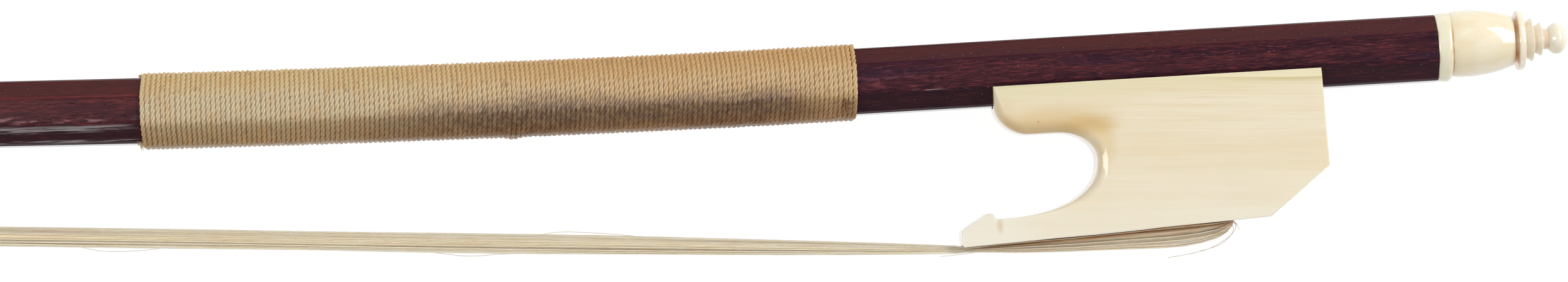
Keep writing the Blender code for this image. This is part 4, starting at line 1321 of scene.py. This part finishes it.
tuft_root = at(TUFT_PLACE, camber(TUFT_PLACE) - 0.0047, 0.0022)
tuft_way = Vector((-0.22, -0.96, 0.1)).normalized()
tuft = frayed("frayed_cord_tuft", tuft_root, tuft_way, 0.0006, 0.00022, 80, luck)
tuft.data.materials.append(loose_fibre("tuft_fibre", (238, 224, 192), (196, 172, 130)))
tucked_root = at(-0.0916, -0.0026, 0.0053)
tucked_way = Vector((0.12, -0.80, -0.58)).normalized()
tucked = frayed("tucked_cord_end", tucked_root, tucked_way, 0.0020, 0.00018, 60, luck)
tucked.data.materials.append(loose_fibre("glued_fibre", (168, 128, 92), (120, 84, 58)))
for end in (tuft, tucked):
    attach(end, "stick")


# Floor, backdrop and lights: a plain white table under a plain white sky. A broad fill stands above
# the stick, a tall key beyond the button, and others reach the throat, the left and the low side.
SEEN_WHITE = 1.07
WHITE_SHARE = 0.90
SKY_LIGHT = 0.43
LIT_PLACE = Vector((0.26, -0.012, 0.0065))

floor = added(bpy.ops.mesh.primitive_plane_add, "floor", size=6.0, location=(0.0, 0.0, -0.0002))
table = Look(
    "white_table", base_color=(0.86, 0.86, 0.86, 1.0), roughness=0.9, specular_ior_level=0.1
)
# White to the camera and in reflections, with a share of what is lit kept for the shadow.
to_camera, mirrored, through = [
    table.node("ShaderNodeLightPath", output=f"Is {ray} Ray")
    for ray in ("Camera", "Glossy", "Transmission")
]
seen = to_camera.work("MAXIMUM", to_camera, mirrored.work("MAXIMUM", mirrored, through))
lit = Wire(table, table.shader.outputs[0])
white = table.node("ShaderNodeEmission", {}, {"Strength": SEEN_WHITE})
whitened = table.node("ShaderNodeMixShader", {}, {0: seen * WHITE_SHARE, 1: lit, 2: white})
table_output = table.tree.nodes["Material Output"]
table.tree.links.new(whitened.socket, table_output.inputs["Surface"])
floor.data.materials.append(table.material)

world = bpy.data.worlds.new("white_room")
bpy.context.scene.world = world
world.use_nodes = True
sky = world.node_tree.nodes["Background"]
sky.inputs["Color"].default_value = (1.0, 1.0, 1.0, 1.0)
sky_path = world.node_tree.nodes.new("ShaderNodeLightPath")
sky_level = world.node_tree.nodes.new("ShaderNodeMapRange")
sky_level.inputs["To Min"].default_value = SKY_LIGHT
sky_level.inputs["To Max"].default_value = 1.0
world.node_tree.links.new(sky_path.outputs["Is Camera Ray"], sky_level.inputs["Value"])
world.node_tree.links.new(sky_level.outputs[0], sky.inputs["Strength"])


def soft_light(
    name, aside, above, distance, width, height, power, mirrored=False, lighting=True, roll=0.0
):
    """A soft panel seen from the frog under two angles: towards the button, and above the stick."""
    sideways = math.radians(aside)
    upwards = math.radians(above)
    way = Vector((math.sin(sideways), math.sin(upwards) * math.cos(sideways), 0.0))
    way.z = math.sqrt(max(0.0, 1 - way.x**2 - way.y**2))
    bpy.ops.object.light_add(type="AREA", location=LIT_PLACE + way * distance)
    light = bpy.context.object
    light.name = name
    light.data.shape = "RECTANGLE"
    light.data.size = width
    light.data.size_y = height
    light.data.energy = power
    rolled = Quaternion((0.0, 0.0, 1.0), math.radians(roll))
    light.rotation_euler = (way.to_track_quat("Z", "Y") @ rolled).to_euler()
    light.visible_glossy = mirrored
    light.visible_diffuse = lighting


soft_light("fill_panel", -14.0, 38.0, 1.3, 1.0, 0.5, 2.0)
soft_light("key_panel", 45.0, 29.0, 1.1, 0.28, 1.1, 7.9, mirrored=True, roll=72.0)
soft_light("throat_panel", -43.0, 0.0, 1.1, 0.34, 1.1, 9.0, mirrored=True, lighting=False)
soft_light("left_panel", -54.0, -8.0, 1.1, 0.5, 0.6, 2.6)
soft_light("low_strip", -4.0, -72.0, 1.0, 0.5, 0.06, 0.6)

bpy.context.scene.view_settings.view_transform = "Standard"
